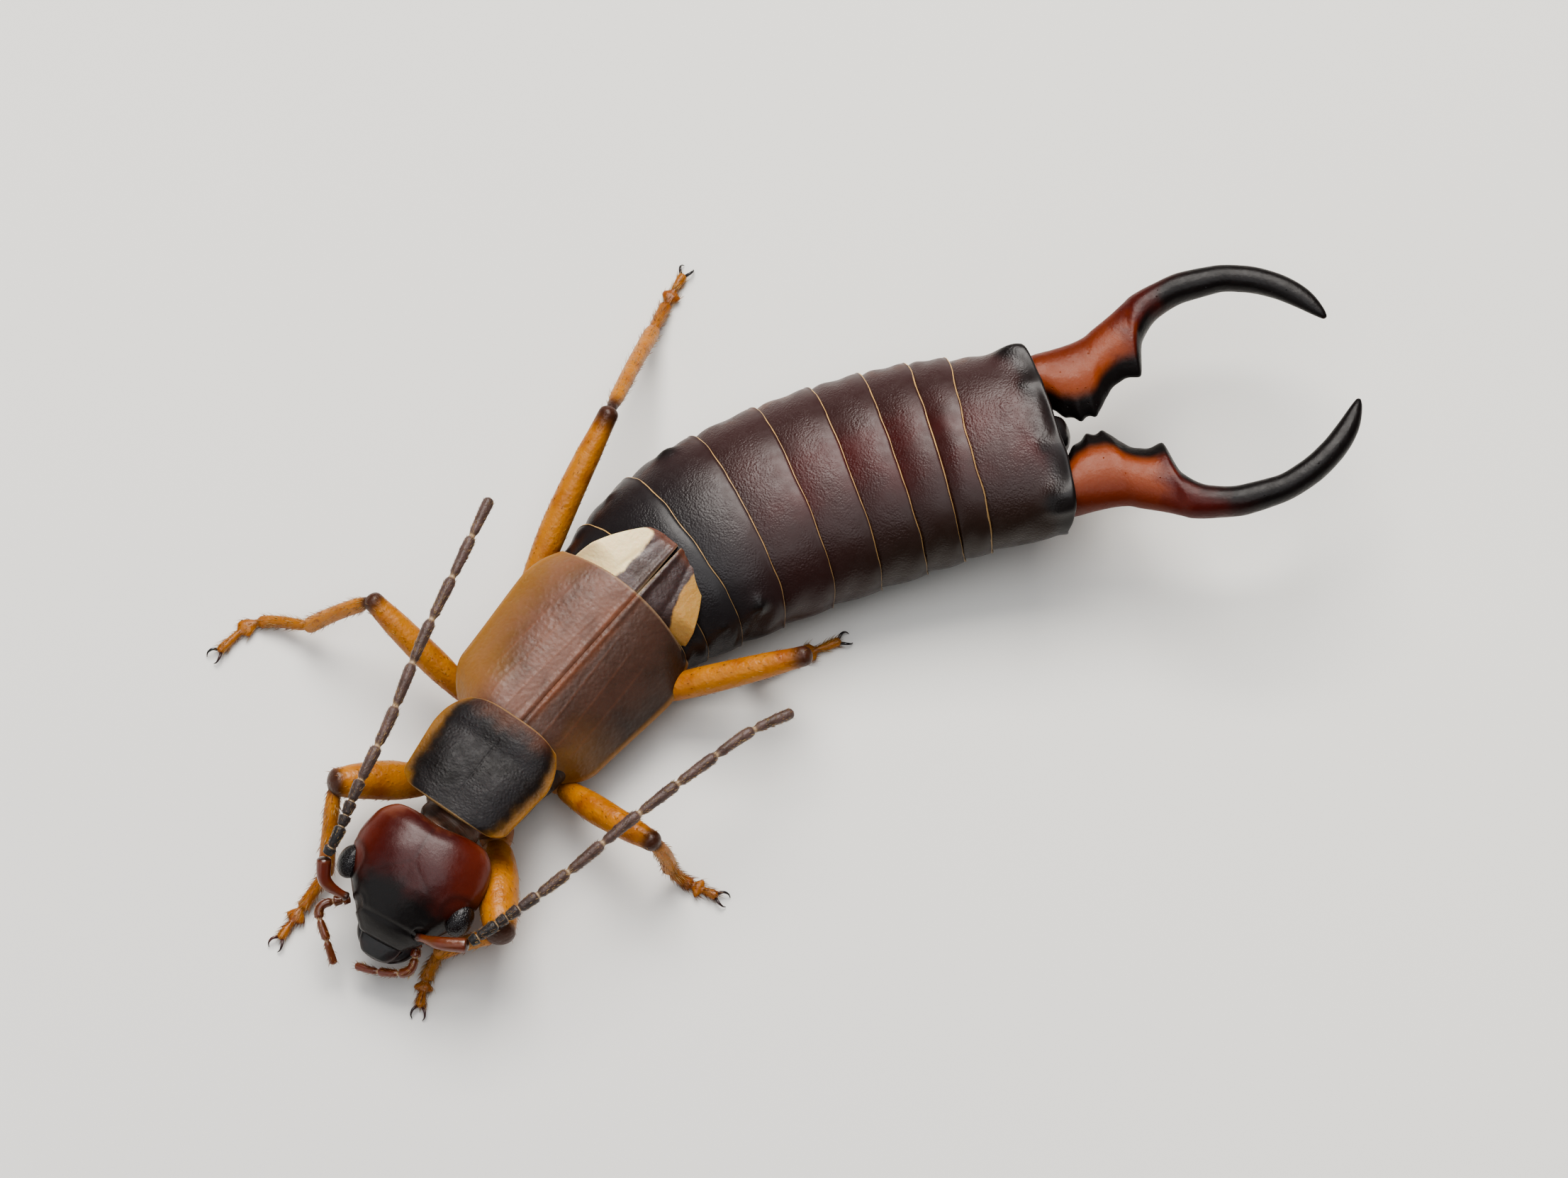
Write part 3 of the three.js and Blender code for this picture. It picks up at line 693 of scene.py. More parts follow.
BODY_STATIONS = tuple(zip(PLATE_EDGES, PLATE_HALF_WIDTHS, PLATE_HEIGHTS, PLATE_DEPTHS))
BODY_SQUARE = 2.2
EDGE_BULGE = 0.085
TAIL_BULGE = 0.2
EDGE_TILT = 0.2
EDGE_RIPPLE = 0.02
LAST_PLATE = 9
PLATE_COLUMNS = 88
PLATE_STEPS = 18
SIDE_FOLD_DEPTH = 0.018
# Humps higher than this are ridged, with so many waves in 2 pi mm
RIDGED_HUMP = 0.12
HUMP_RIDGES = 46.0

# Humps of the plates: plate, share of its length, angle from the back in degrees, radius, height and darkness
PLATE_HUMPS = (
    (2, 0.55, -62, 0.1, 0.05, 1.0), (2, 0.55, 62, 0.1, 0.05, 1.0),
    (3, 0.5, -58, 0.16, 0.1, 1.0), (3, 0.5, 58, 0.16, 0.1, 1.0),
    (9, 0.86, -55, 0.3, 0.17, 0.95), (9, 0.84, 50, 0.28, 0.2, 0.95),
    (9, 0.84, -24, 0.17, 0.06, 0.85), (9, 0.84, 15, 0.17, 0.06, 0.85),
    (9, 0.5, -12, 0.1, 0.02, 0.0), (9, 0.66, 2, 0.1, 0.02, 0.0),
)


def plate_edge(index, theta):
    """Where a plate's rear edge lies along the spine. On the back it reaches further to the rear, and so it
    does on the left side towards the tail."""
    back = ease(-0.2, 1.0, math.cos(theta))
    bulge = TAIL_BULGE if index > LAST_PLATE else EDGE_BULGE * min(index, 1)
    tilt = EDGE_TILT * ease(4, 8, index) * math.sin(theta)
    ripple = EDGE_RIPPLE * noise.noise((index * 3.7, theta * 4.0, 0.0))
    return PLATE_EDGES[index] + bulge * (2 * back - 1) + tilt + ripple


def body_point(distance, theta, inset):
    """A point on the abdomen, by its distance along the spine and its angle from the back."""
    share = distance / SPINE.length
    heading = SPINE.heading(share)
    side = UP.cross(heading).normalized()
    up = heading.cross(side)
    wide, high, low = profile(BODY_STATIONS, distance)
    x, z = outline(theta, BODY_SQUARE)
    beyond = max(distance - SPINE.length, 0.0) + min(distance, 0.0)
    spot = SPINE.at(share) + heading * beyond
    spot -= side * x * (wide - inset)
    spot += up * z * ((high if z > 0 else low) - inset)
    return spot


def reach_round(theta, distance):
    """How far an angle reaches round the abdomen in mm."""
    return theta * profile(BODY_STATIONS, distance)[0]


def plate_rows():
    """The rows of a plate: its share of the visible length, a further step along in mm, and its inset in mm.
    The first rows lie under the plate before, and the last ones turn in under the rear edge."""
    lip = sizes().plate_lip / MM
    rows = [(0.0, -0.2, lip + 0.05), (0.0, -0.08, lip + 0.03)]
    for step in range(PLATE_STEPS + 1):
        share = step / PLATE_STEPS * 0.96
        rows.append((share, 0.0, lip * (1 - share) ** 2 * 1.1 - 0.02 * math.sin(math.pi * share)))
    rows += [(0.98, 0.0, -0.012), (0.995, 0.0, -0.012), (1.0, 0.0, -0.004), (1.0, 0.004, 0.012)]
    rows += [(1.0, -0.01, 0.028), (1.0, -0.08, 0.045), (1.0, -0.16, 0.06)]
    return rows


def abdomen_plate(index):
    """One hard ring of the abdomen. Its front slides under the plate before it."""
    rows = plate_rows()
    humps = [hump_row[1:] for hump_row in PLATE_HUMPS if hump_row[0] == index]

    def shape(across, along):
        theta = math.tau * across - math.pi
        share, step, inset = rows[round(along * (len(rows) - 1))]
        start, end = plate_edge(index, theta), plate_edge(index + 1, theta)
        distance = mix(start, end, share) + step
        dark = 0.0
        for place, angle, radius, height, shade in humps:
            reach = reach_round(theta - math.radians(angle), distance)
            rise = hump(math.hypot(reach, (share - place) * (end - start)), radius)
            ridge = 1 + 0.25 * math.sin(reach * HUMP_RIDGES) * rise if height > RIDGED_HUMP else 1.0
            inset -= height * rise * ridge
            dark = max(dark, shade * ease(0.15, 0.6, rise))
        if index == LAST_PLATE:
            ragged = 0.1 * noise.noise((reach_round(theta, distance) * 2.2, share * 5.0, 4.0))
            dark = max(dark, ease(0.66, 0.88, share + ragged) * 0.85, ease(0.86, 0.96, share) * 0.95)
            inset -= 0.03 * hump((share - 0.95) * (end - start), 0.06)
        folds = ease(0.75, 0.98, abs(math.sin(theta))) * ease(-0.35, 0.1, math.cos(theta))
        inset += SIDE_FOLD_DEPTH * folds * math.sin(share * 9.0 + theta * 3.0)
        marks = {
            "edge": (1 - share) * (end - start) - min(step, 0.0) * (share == 1.0), "across": math.sin(theta),
            "tail": distance / SPINE.length, "dark": dark, "fold": folds * (1 - dark),
            "pale": 0.0 if index == LAST_PLATE else 1.0,
        }
        return body_point(distance, theta, inset), marks

    return from_grid(PLATE_COLUMNS, len(rows) - 1, shape, closed=True)


class EARWIG_OT_abdomen(bpy.types.Operator):
    """Make the ten plates of the abdomen"""

    bl_idname = "earwig.abdomen"
    bl_label = "Abdomen"

    def execute(self, context):
        finish = plate_finish()
        for number in range(1, LAST_PLATE + 2):
            mesh = abdomen_plate(number - 1)
            add_piece(f"abdomen_plate_{number}", mesh, finish, [f"abdomen_{number}"])
        return {"FINISHED"}


# Forceps, in the plane of the last plate

TAIL = frame_at((2.88, 5.79, 1.7), yaw=-38, pitch=8)
# Stations of a forceps: distance along, inner and outer edge from the middle line, half thickness, turn
FORCEPS_STATIONS = (
    (0.1, 0.5, 1.3, 0.34, 0), (0.34, 0.46, 1.34, 0.36, 0), (0.6, 0.24, 1.35, 0.34, 0),
    (0.85, 0.17, 1.37, 0.31, 0), (1.1, 0.24, 1.42, 0.29, 0), (1.25, 0.46, 1.5, 0.28, 0),
    (1.6, 0.62, 1.68, 0.27, 0), (1.8, 0.58, 1.8, 0.27, 0), (1.94, 1.12, 1.88, 0.27, 0),
    (2.3, 1.48, 1.98, 0.25, 0), (2.75, 1.61, 2.06, 0.23, 0), (3.25, 1.62, 2.03, 0.21, 6),
    (3.7, 1.5, 1.9, 0.2, 20), (4.12, 1.27, 1.65, 0.18, 32), (4.44, 1.0, 1.32, 0.14, 48),
    (4.66, 0.76, 0.9, 0.07, 66), (4.7, 0.72, 0.78, 0.03, 70),
)
FORCEPS_COLUMNS = 40
FORCEPS_ROWS = 110
# The scallops of the inner edge: where their middle is, how far they reach, their depth, and waves in 2 pi mm
SCALLOP_MIDDLE = 0.9
SCALLOP_REACH = 0.42
SCALLOP_DEPTH = 0.08
SCALLOPS = 13.0
# For each side, how much longer a forceps is than its stations say, and how far it leans to the middle line
FORCEPS_FIT = {1: (1.045, 0.02), -1: (1.01, 0.0)}


def forceps_arm(side):
    """One forceps: a flat broad base with a scalloped inner edge, a tooth, and a hooked arm."""
    first, last = FORCEPS_STATIONS[0][0], FORCEPS_STATIONS[-1][0]
    stretch, lean = FORCEPS_FIT[side]

    def shape(across, along):
        theta = math.tau * across - math.pi
        distance = mix(first, last, along)
        inner, outer, thick, turn = profile(FORCEPS_STATIONS, distance)
        waves = abs(math.sin((distance - 0.4) * SCALLOPS)) ** 3
        scallop = SCALLOP_DEPTH * hump(distance - SCALLOP_MIDDLE, SCALLOP_REACH) * waves
        x, z = outline(theta, 2.3)
        inward = max(-x, 0.0)
        angle = math.radians(turn)
        sideways = Vector((math.cos(angle), math.sin(angle), 0.0))
        spot = Vector(((inner + outer) / 2, distance, 0.0))
        spot += sideways * (x * (outer - inner) / 2 - inward ** 3 * scallop)
        spot.z += z * thick * mix(1.0, 0.55, inward ** 2 * ease(2.1, 1.7, distance))
        spot.y = first + (spot.y - first) * stretch
        spot.x = side * (spot.x - lean * (spot.y - first))
        return spot, {"along": distance / last, "inner": -x}

    return from_grid(FORCEPS_COLUMNS, FORCEPS_ROWS, shape, closed=True)


class EARWIG_OT_forceps(bpy.types.Operator):
    """Make both forceps and the small end plate between them"""

    bl_idname = "earwig.forceps"
    bl_label = "Forceps"

    def execute(self, context):
        finish = forceps_finish()
        for letter, side in (("l", 1), ("r", -1)):
            name = f"forceps_arm_{letter}"
            add_piece(name, forceps_arm(side), finish, [f"forceps_{letter}"], turn=TAIL)
        block = Tube(
            [(0, 0.1, 0), (0, 0.33, -0.02), (0, 0.56, -0.05)],
            ((0, 0.34, 0.34, 0.34), (0.5, 0.3, 0.3, 0.3), (1, 0.2, 0.2, 0.2)), square=3.0, caps=(0.05, 0.1))
        mesh = tube_mesh(block, 32, 14)
        finish = horn_finish("end_plate_finish", 0.3, 0.4, red=0.1)
        add_piece("end_plate", mesh, finish, ["pygidium"], turn=TAIL)
        return {"FINISHED"}


# Wing covers and folded wings

WING_BASE = frame_at((-0.31, 0, 1.05), pitch=3, roll=15)
SEAM_GAP = -0.01
COVER_START = -2.95
COVER_END = 0.02
COVER_HALF_WIDTH = 1.44
WING_END = 1.02
# How far each vein is from the seam at its front and rear, as a share of the cover's width
VEINS = ((0.3, 0.12), (0.52, 0.3), (0.7, 0.5))
COVER_DROP = 0.78
COVER_GRID = (80, 90)
WING_GRID = (40, 50)


def cover_shape(side):
    """The outer face of a wing cover: rounded shoulders, a vaulted back, a ridge at the seam and veins."""
    def shape(across, along):
        shoulder = 1 - 0.3 * (1 - min(along / 0.22, 1)) ** 2
        hip = 1 - 0.16 * max((along - 0.72) / 0.28, 0) ** 2
        half_width = COVER_HALF_WIDTH * shoulder * hip * (1 - 0.06 * math.cos(along * math.pi))
        seam_ridge = 0.018 * hump((across - 0.05) * half_width, 0.04) - 0.012 * hump(across * half_width, 0.02)
        vein = 0.0
        for start, end in VEINS:
            near = (across - mix(start, end, along)) * half_width
            vein = max(vein, hump(near, 0.022) * ease(0.02, 0.2, along) * ease(0.98, 0.6, along))
        swell = 0.05 * hump(math.hypot((across - 0.5) * half_width, (along - 0.12) * 3.0), 0.45)
        edge_roll = 0.02 * hump((across - 0.97) * half_width, 0.03)
        spot = Vector((
            side * (SEAM_GAP + across * half_width),
            mix(COVER_START, COVER_END, along) + 0.1 * across ** 2 * (1 - 2 * along),
            mix(0.9, 1.02, along) - COVER_DROP * across ** 2.4 + seam_ridge + 0.004 * vein + swell + edge_roll,
        ))
        return spot, {"across": across, "along": along, "side": float(side), "vein": vein}
    return shape


def wing_shape(side):
    """The outer face of a folded wing, which comes out from under its cover."""
    def shape(across, along):
        half_width = mix(1.12, 0.5, along ** 1.8)
        rounding = 0.18 * max(across - 0.4, 0) ** 2 * along
        ridge = 0.035 * hump((across - 0.07) * half_width, 0.05)
        fold = 0.015 * hump((across - 0.45) * half_width, 0.05)
        reach = across * half_width
        fall = mix(0.5, 0.12, ease(0.1, 0.4, along)) * reach ** 2 + 0.06 * ease(0.9, 1.0, along)
        spot = Vector((
            side * (SEAM_GAP + 0.03 * along ** 2 + reach),
            mix(COVER_END - 0.25, WING_END, along) - rounding,
            mix(0.98, 0.94, along) - fall + ridge - fold,
        ))
        return spot, {"across": across, "along": along, "side": float(side)}
    return shape


def shell(grid, shape, thickness):
    """A thin curved plate, its outer face on the given shape."""
    mesh = from_grid(*grid, shape, closed=False)
    if sum(face.normal.z for face in mesh.faces) < 0:
        bmesh.ops.reverse_faces(mesh, faces=mesh.faces)
    bmesh.ops.solidify(mesh, geom=mesh.faces, thickness=thickness)
    return mesh


class EARWIG_OT_wings(bpy.types.Operator):
    """Make the wing covers and the tips of the folded wings"""

    bl_idname = "earwig.wings"
    bl_label = "Wings"

    def execute(self, context):
        thickness = sizes().cover_thickness / MM
        brown, patched = cover_finish(), wing_finish()
        for letter, side in (("l", 1), ("r", -1)):
            mesh, node = shell(COVER_GRID, cover_shape(side), thickness), f"tegmen_{letter}"
            add_piece(f"wing_cover_{letter}", mesh, brown, [node], turn=WING_BASE)
            mesh, node = shell(WING_GRID, wing_shape(side), thickness), f"wing_tip_{letter}"
            add_piece(f"folded_wing_{letter}", mesh, patched, [node], turn=WING_BASE)
        return {"FINISHED"}


# Front plate

FORE = frame_at((-0.12, -3.42, 0), yaw=4)
PLATE_FRONT = -1.03
PLATE_REAR = 0.75
PLATE_TOP = 1.98
PLATE_THICKNESS = 0.1
WIDEST = 0.62
PLATE_GRID = (96, 72)


def front_plate_shape(across, along):
    """The upper face of the front plate: two swells, a middle groove, a dip, and gutters along the sides."""
    out = abs(2 * across - 1)
    rear = math.sqrt(max(1 - (max(along - WIDEST, 0) / 0.5) ** 2, 0))
    half_width = mix(0.93, 1.04, min(along / WIDEST, 1)) * mix(rear, 1, 0.3)
    half_width *= 1 - 0.2 * (1 - min(along / 0.13, 1)) ** 2.5
    x = (2 * across - 1) * half_width
    disc = 0.03 * hump(math.hypot(out - 0.42, (along - 0.34) * 1.6), 0.3)
    groove = 0.006 * hump(x, 0.015) * ease(0.04, 0.14, along) * ease(0.82, 0.7, along)
    dip = 0.03 * hump((along - 0.66) * 1.7, 0.16)
    gutter = 0.018 * hump((out - 0.86) * half_width, 0.06)
    rolled_edge = 0.01 * hump((out - 0.98) * half_width, 0.03)
    spot = Vector((
        x, mix(PLATE_FRONT, PLATE_REAR, along) - 0.16 * out ** 4 * (along - 0.45),
        PLATE_TOP - 0.05 * (1 - along) - 0.2 * out ** 3 + disc - groove - dip - gutter + rolled_edge,
    ))
    rim = max(ease(0.965, 0.99, out), ease(0.975, 0.99, along), ease(0.025, 0.01, along))
    return spot, {"across": out, "along": along, "rim": rim}


class EARWIG_OT_front_plate(bpy.types.Operator):
    """Make the plate over the front of the thorax"""

    bl_idname = "earwig.front_plate"
    bl_label = "Front plate"

    def execute(self, context):
        mesh = shell(PLATE_GRID, front_plate_shape, PLATE_THICKNESS)
        add_piece("front_plate", mesh, front_plate_finish(), ["pronotum"], turn=FORE)
        return {"FINISHED"}


# Soft skin from the neck to under the wing covers

TRUNK_LINE = (
    (0.03, -4.78, 1.34), (-0.05, -4.3, 1.2), (-0.1, -3.85, 1.0), (-0.13, -3.2, 0.95), (-0.25, -2.4, 0.96),
    (-0.31, -1.4, 0.96), (-0.29, -0.4, 0.92),
)
TRUNK_STATIONS = (
    (0, 0.42, 0.3, 0.3), (0.12, 0.5, 0.3, 0.34), (0.2, 0.72, 0.36, 0.42), (0.34, 0.82, 0.4, 0.5),
    (0.5, 0.98, 0.5, 0.54), (0.75, 1.12, 0.52, 0.58), (1, 1.08, 0.5, 0.56),
)


class EARWIG_OT_trunk(bpy.types.Operator):
    """Make the skin of neck and thorax"""

    bl_idname = "earwig.trunk"
    bl_label = "Trunk"

    def execute(self, context):
        tube = Tube(TRUNK_LINE, TRUNK_STATIONS, square=2.2)

        def folds(share):
            return 0.02 * math.sin(share * 95.0) * ease(0.35, 0.1, share) - 0.04 * hump(share - 0.36, 0.03)

        mesh = tube_mesh(tube, 64, 90, marks=lambda share: {"along": share}, dent=folds)
        add_piece("trunk_skin", mesh, skin_finish(), ["neck", "prothorax", "thorax"])
        return {"FINISHED"}


# Head

HEAD = frame_at((0.02, -4.8, 1.4), yaw=10, pitch=12)
# Stations of the head: distance behind its middle, half width, height above and below, and lift
HEAD_STATIONS = (
    (0.0, 0.5, 0.26, 0.24, 0.02), (0.08, 0.78, 0.42, 0.4, 0.02), (0.32, 0.98, 0.55, 0.5, 0.02),
    (0.7, 1.06, 0.6, 0.54, 0.02), (1.06, 1.0, 0.6, 0.54, 0.0), (1.36, 0.84, 0.54, 0.5, -0.02),
    (1.61, 0.66, 0.42, 0.42, -0.04), (1.84, 0.48, 0.28, 0.32, -0.08), (2.0, 0.32, 0.12, 0.2, -0.12),
)
HEAD_REAR = 0.3
HEAD_COLUMNS = 128
HEAD_ROWS = 84
# Distances from the head's rear, and from its middle line where there are two
CROWN_FORK = 0.72
LIP_LINE = 1.68
FEELER_SOCKET = (0.55, 1.66)
EYE_MIDDLE = (0.92, 1.11)
BROW = (0.45, 0.8)


def head_mesh():
    """The head's hard case, with a notched rear, a forked seam on the crown and feeler sockets."""
    length = HEAD_STATIONS[-1][0]
    shares = spread(HEAD_ROWS)

    def shape(across, along):
        theta = math.tau * across - math.pi
        distance = shares[round(along * HEAD_ROWS)] * length
        wide, high, low, lift = profile(HEAD_STATIONS, distance)
        shrink = round_end(min(distance, length - distance), 0.05)
        x, z = outline(theta, 2.15)
        spot = Vector((x * wide * shrink, HEAD_REAR - distance, lift + z * (high if z > 0 else low) * shrink))
        spot.y -= 0.07 * hump(spot.x, 0.34) * ease(0.5, 0.0, distance)
        top, aside = ease(0.0, 0.5, z), abs(spot.x)

        def away_from(place):
            return math.hypot(aside - place[0], distance - place[1])

        stem = hump(aside, 0.02) * ease(CROWN_FORK, CROWN_FORK - 0.03, distance)
        inside = ease(0.62, 0.5, aside)
        arms = hump(distance - CROWN_FORK - aside * 0.85, 0.025) * ease(0.0, 0.05, aside) * inside
        seam = max(stem, arms) * top
        lip_line = hump(distance - LIP_LINE, 0.03) * top * inside
        socket = hump(away_from(FEELER_SOCKET), 0.1) * ease(-0.2, 0.2, z)
        collar = hump(away_from(FEELER_SOCKET) - 0.13, 0.03) * ease(-0.2, 0.2, z)
        eye_rim = hump(away_from(EYE_MIDDLE) - 0.26, 0.05)
        brow = 0.03 * hump(away_from(BROW), 0.3) * top
        inward = Vector((0.0, HEAD_REAR - distance, lift)) - spot
        if inward.length > 0.05:
            depth = 0.006 * seam + 0.02 * lip_line + 0.07 * socket - 0.02 * collar - 0.012 * eye_rim - brow
            spot += inward.normalized() * depth
        marks = {
            "along": distance / length, "across": x, "seam": max(seam, lip_line),
            "dark": max(ease(0.4, 0.9, socket), 0.4 * eye_rim),
        }
        return spot, marks

    return from_grid(HEAD_COLUMNS, HEAD_ROWS, shape, closed=True)


class EARWIG_OT_head(bpy.types.Operator):
    """Make the head"""

    bl_idname = "earwig.head"
    bl_label = "Head"

    def execute(self, context):
        add_piece("head_case", head_mesh(), head_finish(), ["head"], turn=HEAD)
        return {"FINISHED"}


EYE_PLACE = (0.93, -0.85, 0.12)
EYE_RADII = (0.2, 0.27, 0.22)


class EARWIG_OT_eyes(bpy.types.Operator):
    """Make the eyes"""

    bl_idname = "earwig.eyes"
    bl_label = "Eyes"

    def execute(self, context):
        finish = eye_finish()
        for letter, side in (("l", 1), ("r", -1)):
            mesh = bmesh.new()
            bmesh.ops.create_icosphere(mesh, subdivisions=5, radius=1.0)
            bmesh.ops.scale(mesh, vec=EYE_RADII, verts=mesh.verts)
            bmesh.ops.translate(mesh, vec=(side * EYE_PLACE[0], EYE_PLACE[1], EYE_PLACE[2]), verts=mesh.verts)
            add_piece(f"eye_ball_{letter}", mesh, finish, [f"eye_{letter}"], levels=0, turn=HEAD)
        return {"FINISHED"}


JAW_STATIONS = ((0, 0.18, 0.16, 0.16), (0.5, 0.14, 0.13, 0.13), (0.85, 0.09, 0.08, 0.08), (1, 0.03, 0.03, 0.03))


class EARWIG_OT_mouth(bpy.types.Operator):
    """Make the upper lip, the jaws and the underside of the mouth"""

    bl_idname = "earwig.mouth"
    bl_label = "Mouth"

    def execute(self, context):
        horn = horn_finish("mouth_horn_finish", 0.3, 0.42)
        lip = Tube(
            [(0, -1.55, -0.14), (0, -1.75, -0.18), (0, -1.95, -0.26)],
            ((0, 0.36, 0.1, 0.12), (0.5, 0.32, 0.09, 0.12), (0.85, 0.24, 0.07, 0.1), (1, 0.17, 0.04, 0.06)),
            square=2.6, caps=(0.05, 0.06))
        add_piece("upper_lip", tube_mesh(lip, 40, 22), horn, ["labrum"], turn=HEAD)
        for letter, side in (("l", 1), ("r", -1)):
            line = [(side * 0.34, -1.3, -0.32), (side * 0.33, -1.62, -0.38), (side * 0.1, -1.9, -0.44)]
            jaw = Tube(line, JAW_STATIONS, caps=(0.1, 0.04))
            mesh = tube_mesh(jaw, 28, 24)
            add_piece(f"jaw_{letter}", mesh, horn, [f"mandible_{letter}"], turn=HEAD)
        chin = Tube(
            [(0, -0.9, -0.58), (0, -1.35, -0.64), (0, -1.75, -0.6)],
            ((0, 0.4, 0.16, 0.1), (0.5, 0.42, 0.16, 0.14), (1, 0.2, 0.12, 0.1)), square=2.4, caps=(0.1, 0.1))
        mesh = tube_mesh(chin, 36, 24, marks=lambda share: {"dark": 0.0, "joint": 0.0})
        add_piece("lower_mouth", mesh, dark_amber_finish(), ["mouthparts"], turn=HEAD)
        return {"FINISHED"}


# Feelers and palps

FEELERS = {
    "r": {
        "base": (-0.44, -6.25, 1.24), "bend": (-0.8, -6.32, 1.46), "end": (-1.0, -6.1, 1.72),
        "thread": (
            (-0.98, -6.06, 1.76), (-1.0, -5.82, 1.9), (-1.23, -5.04, 2.1), (-1.53, -3.96, 2.2),
            (-1.95, -2.75, 2.3), (-2.26, -1.65, 2.38), (-2.64, -0.36, 2.4)),
    },
    "l": {
        "base": (0.74, -6.06, 1.24), "bend": (1.12, -5.97, 1.44), "end": (1.5, -5.74, 1.52),
        "thread": (
            (1.48, -5.7, 1.52), (1.62, -5.25, 1.6), (1.9, -4.21, 1.74), (2.16, -2.82, 1.88),
            (2.43, -1.51, 1.92), (2.63, -0.6, 1.86), (2.9, 0.08, 1.76)),
    },
}
FEELER_BASE_SHAPE = ((0, 0.09), (0.12, 0.06), (0.5, 0.1), (1, 0.115))
BEAD_LENGTHS = (0.14, 0.34, 0.17, 0.22, 0.34, 0.56, 0.66, 0.7, 0.72, 0.72, 0.7, 0.68)
BEAD_ROWS = 18
BEAD_COLUMNS = 20
SLIMMEST = 0.012


def bead_profile(place):
    """The thickness of a bead, slim at its root and full near its end, as a share of its widest."""
    rise = 0.5 + 0.34 * ease(0.0, 0.16, place) + 0.16 * ease(0.16, 0.8, place)
    return rise * math.sqrt(max(1 - max((place - 0.86) / 0.155, 0.0) ** 2, 0.0))


def bead_tube(points, lengths, radius, taper):
    """A row of beads along a path: the stations of each bead follow each other."""
    total = sum(lengths)
    stations, start = [], 0.0
    for length in lengths:
        for row in range(BEAD_ROWS):
            place = row / BEAD_ROWS
            here = (start + place * length) / total
            stations.append((here, max(radius * mix(1.0, taper, here) * bead_profile(place), SLIMMEST)))
        start += length
    stations.append((1.0, 0.02))
    return round_tube(points, stations, (0.02, 0.05))


def bead_place(lengths, share):
    """How far along its own bead a share of the row is."""
    distance = share * sum(lengths)
    for length in lengths:
        if distance <= length:
            return distance / length
        distance -= length
    return 1.0


def bead_mesh(tube, lengths):
    """The skin of a row of beads, with rows that follow the beads."""
    shares = [station[0] for station in tube.stations]

    def shape(across, along):
        share = shares[round(along * (len(shares) - 1))]
        place = bead_place(lengths, share)
        joint = 0.8 * max(ease(0.07, 0.01, place), ease(0.985, 1.0, place))
        return tube.point(across, share), {"along": share, "joint": joint, "dark": 0.0}

    return from_grid(BEAD_COLUMNS, len(shares) - 1, shape, closed=True)


def feeler_tube(feeler):
    return bead_tube(feeler["thread"], BEAD_LENGTHS, sizes().bead_radius / MM, 0.92)


class EARWIG_OT_feelers(bpy.types.Operator):
    """Make the feelers: a stout first piece and a thread of beads"""

    bl_idname = "earwig.feelers"
    bl_label = "Feelers"

    def execute(self, context):
        stout, thread = dark_amber_finish(), feeler_finish()

        def marks(share):
            return {"joint": 0.0, "dark": 0.8 * max(ease(0.16, 0.05, share), ease(0.93, 0.99, share))}

        for letter, feeler in FEELERS.items():
            tube = round_tube([feeler["base"], feeler["bend"], feeler["end"]], FEELER_BASE_SHAPE, (0.05, 0.06))
            mesh = tube_mesh(tube, 32, 26, marks=marks)
            add_piece(f"feeler_base_{letter}", mesh, stout, [f"scape_{letter}"])
            mesh = bead_mesh(feeler_tube(feeler), BEAD_LENGTHS)
            add_piece(f"feeler_thread_{letter}", mesh, thread, [f"antenna_{letter}"])
        return {"FINISHED"}


PALPS = {
    "r": ((-0.5, -6.15, 0.9), (-0.76, -6.55, 0.88), (-0.4, -6.83, 0.7), (-0.12, -7.0, 0.45)),
    "l": ((0.68, -6.0, 0.84), (0.86, -6.4, 0.68), (0.45, -6.68, 0.5), (0.1, -6.8, 0.4)),
}
PALP_LENGTHS = (0.1, 0.12, 0.34, 0.28, 0.34)
PALP_RADIUS = 0.085


def palp_tube(points):
    return bead_tube(points, PALP_LENGTHS, PALP_RADIUS, 0.72)


class EARWIG_OT_palps(bpy.types.Operator):
    """Make the palps beside the mouth"""

    bl_idname = "earwig.palps"
    bl_label = "Palps"

    def execute(self, context):
        finish = dark_amber_finish()
        for letter, points in PALPS.items():
            mesh = bead_mesh(palp_tube(points), PALP_LENGTHS)
            add_piece(f"mouth_palp_{letter}", mesh, finish, [f"palp_{letter}"])
        return {"FINISHED"}


# Legs

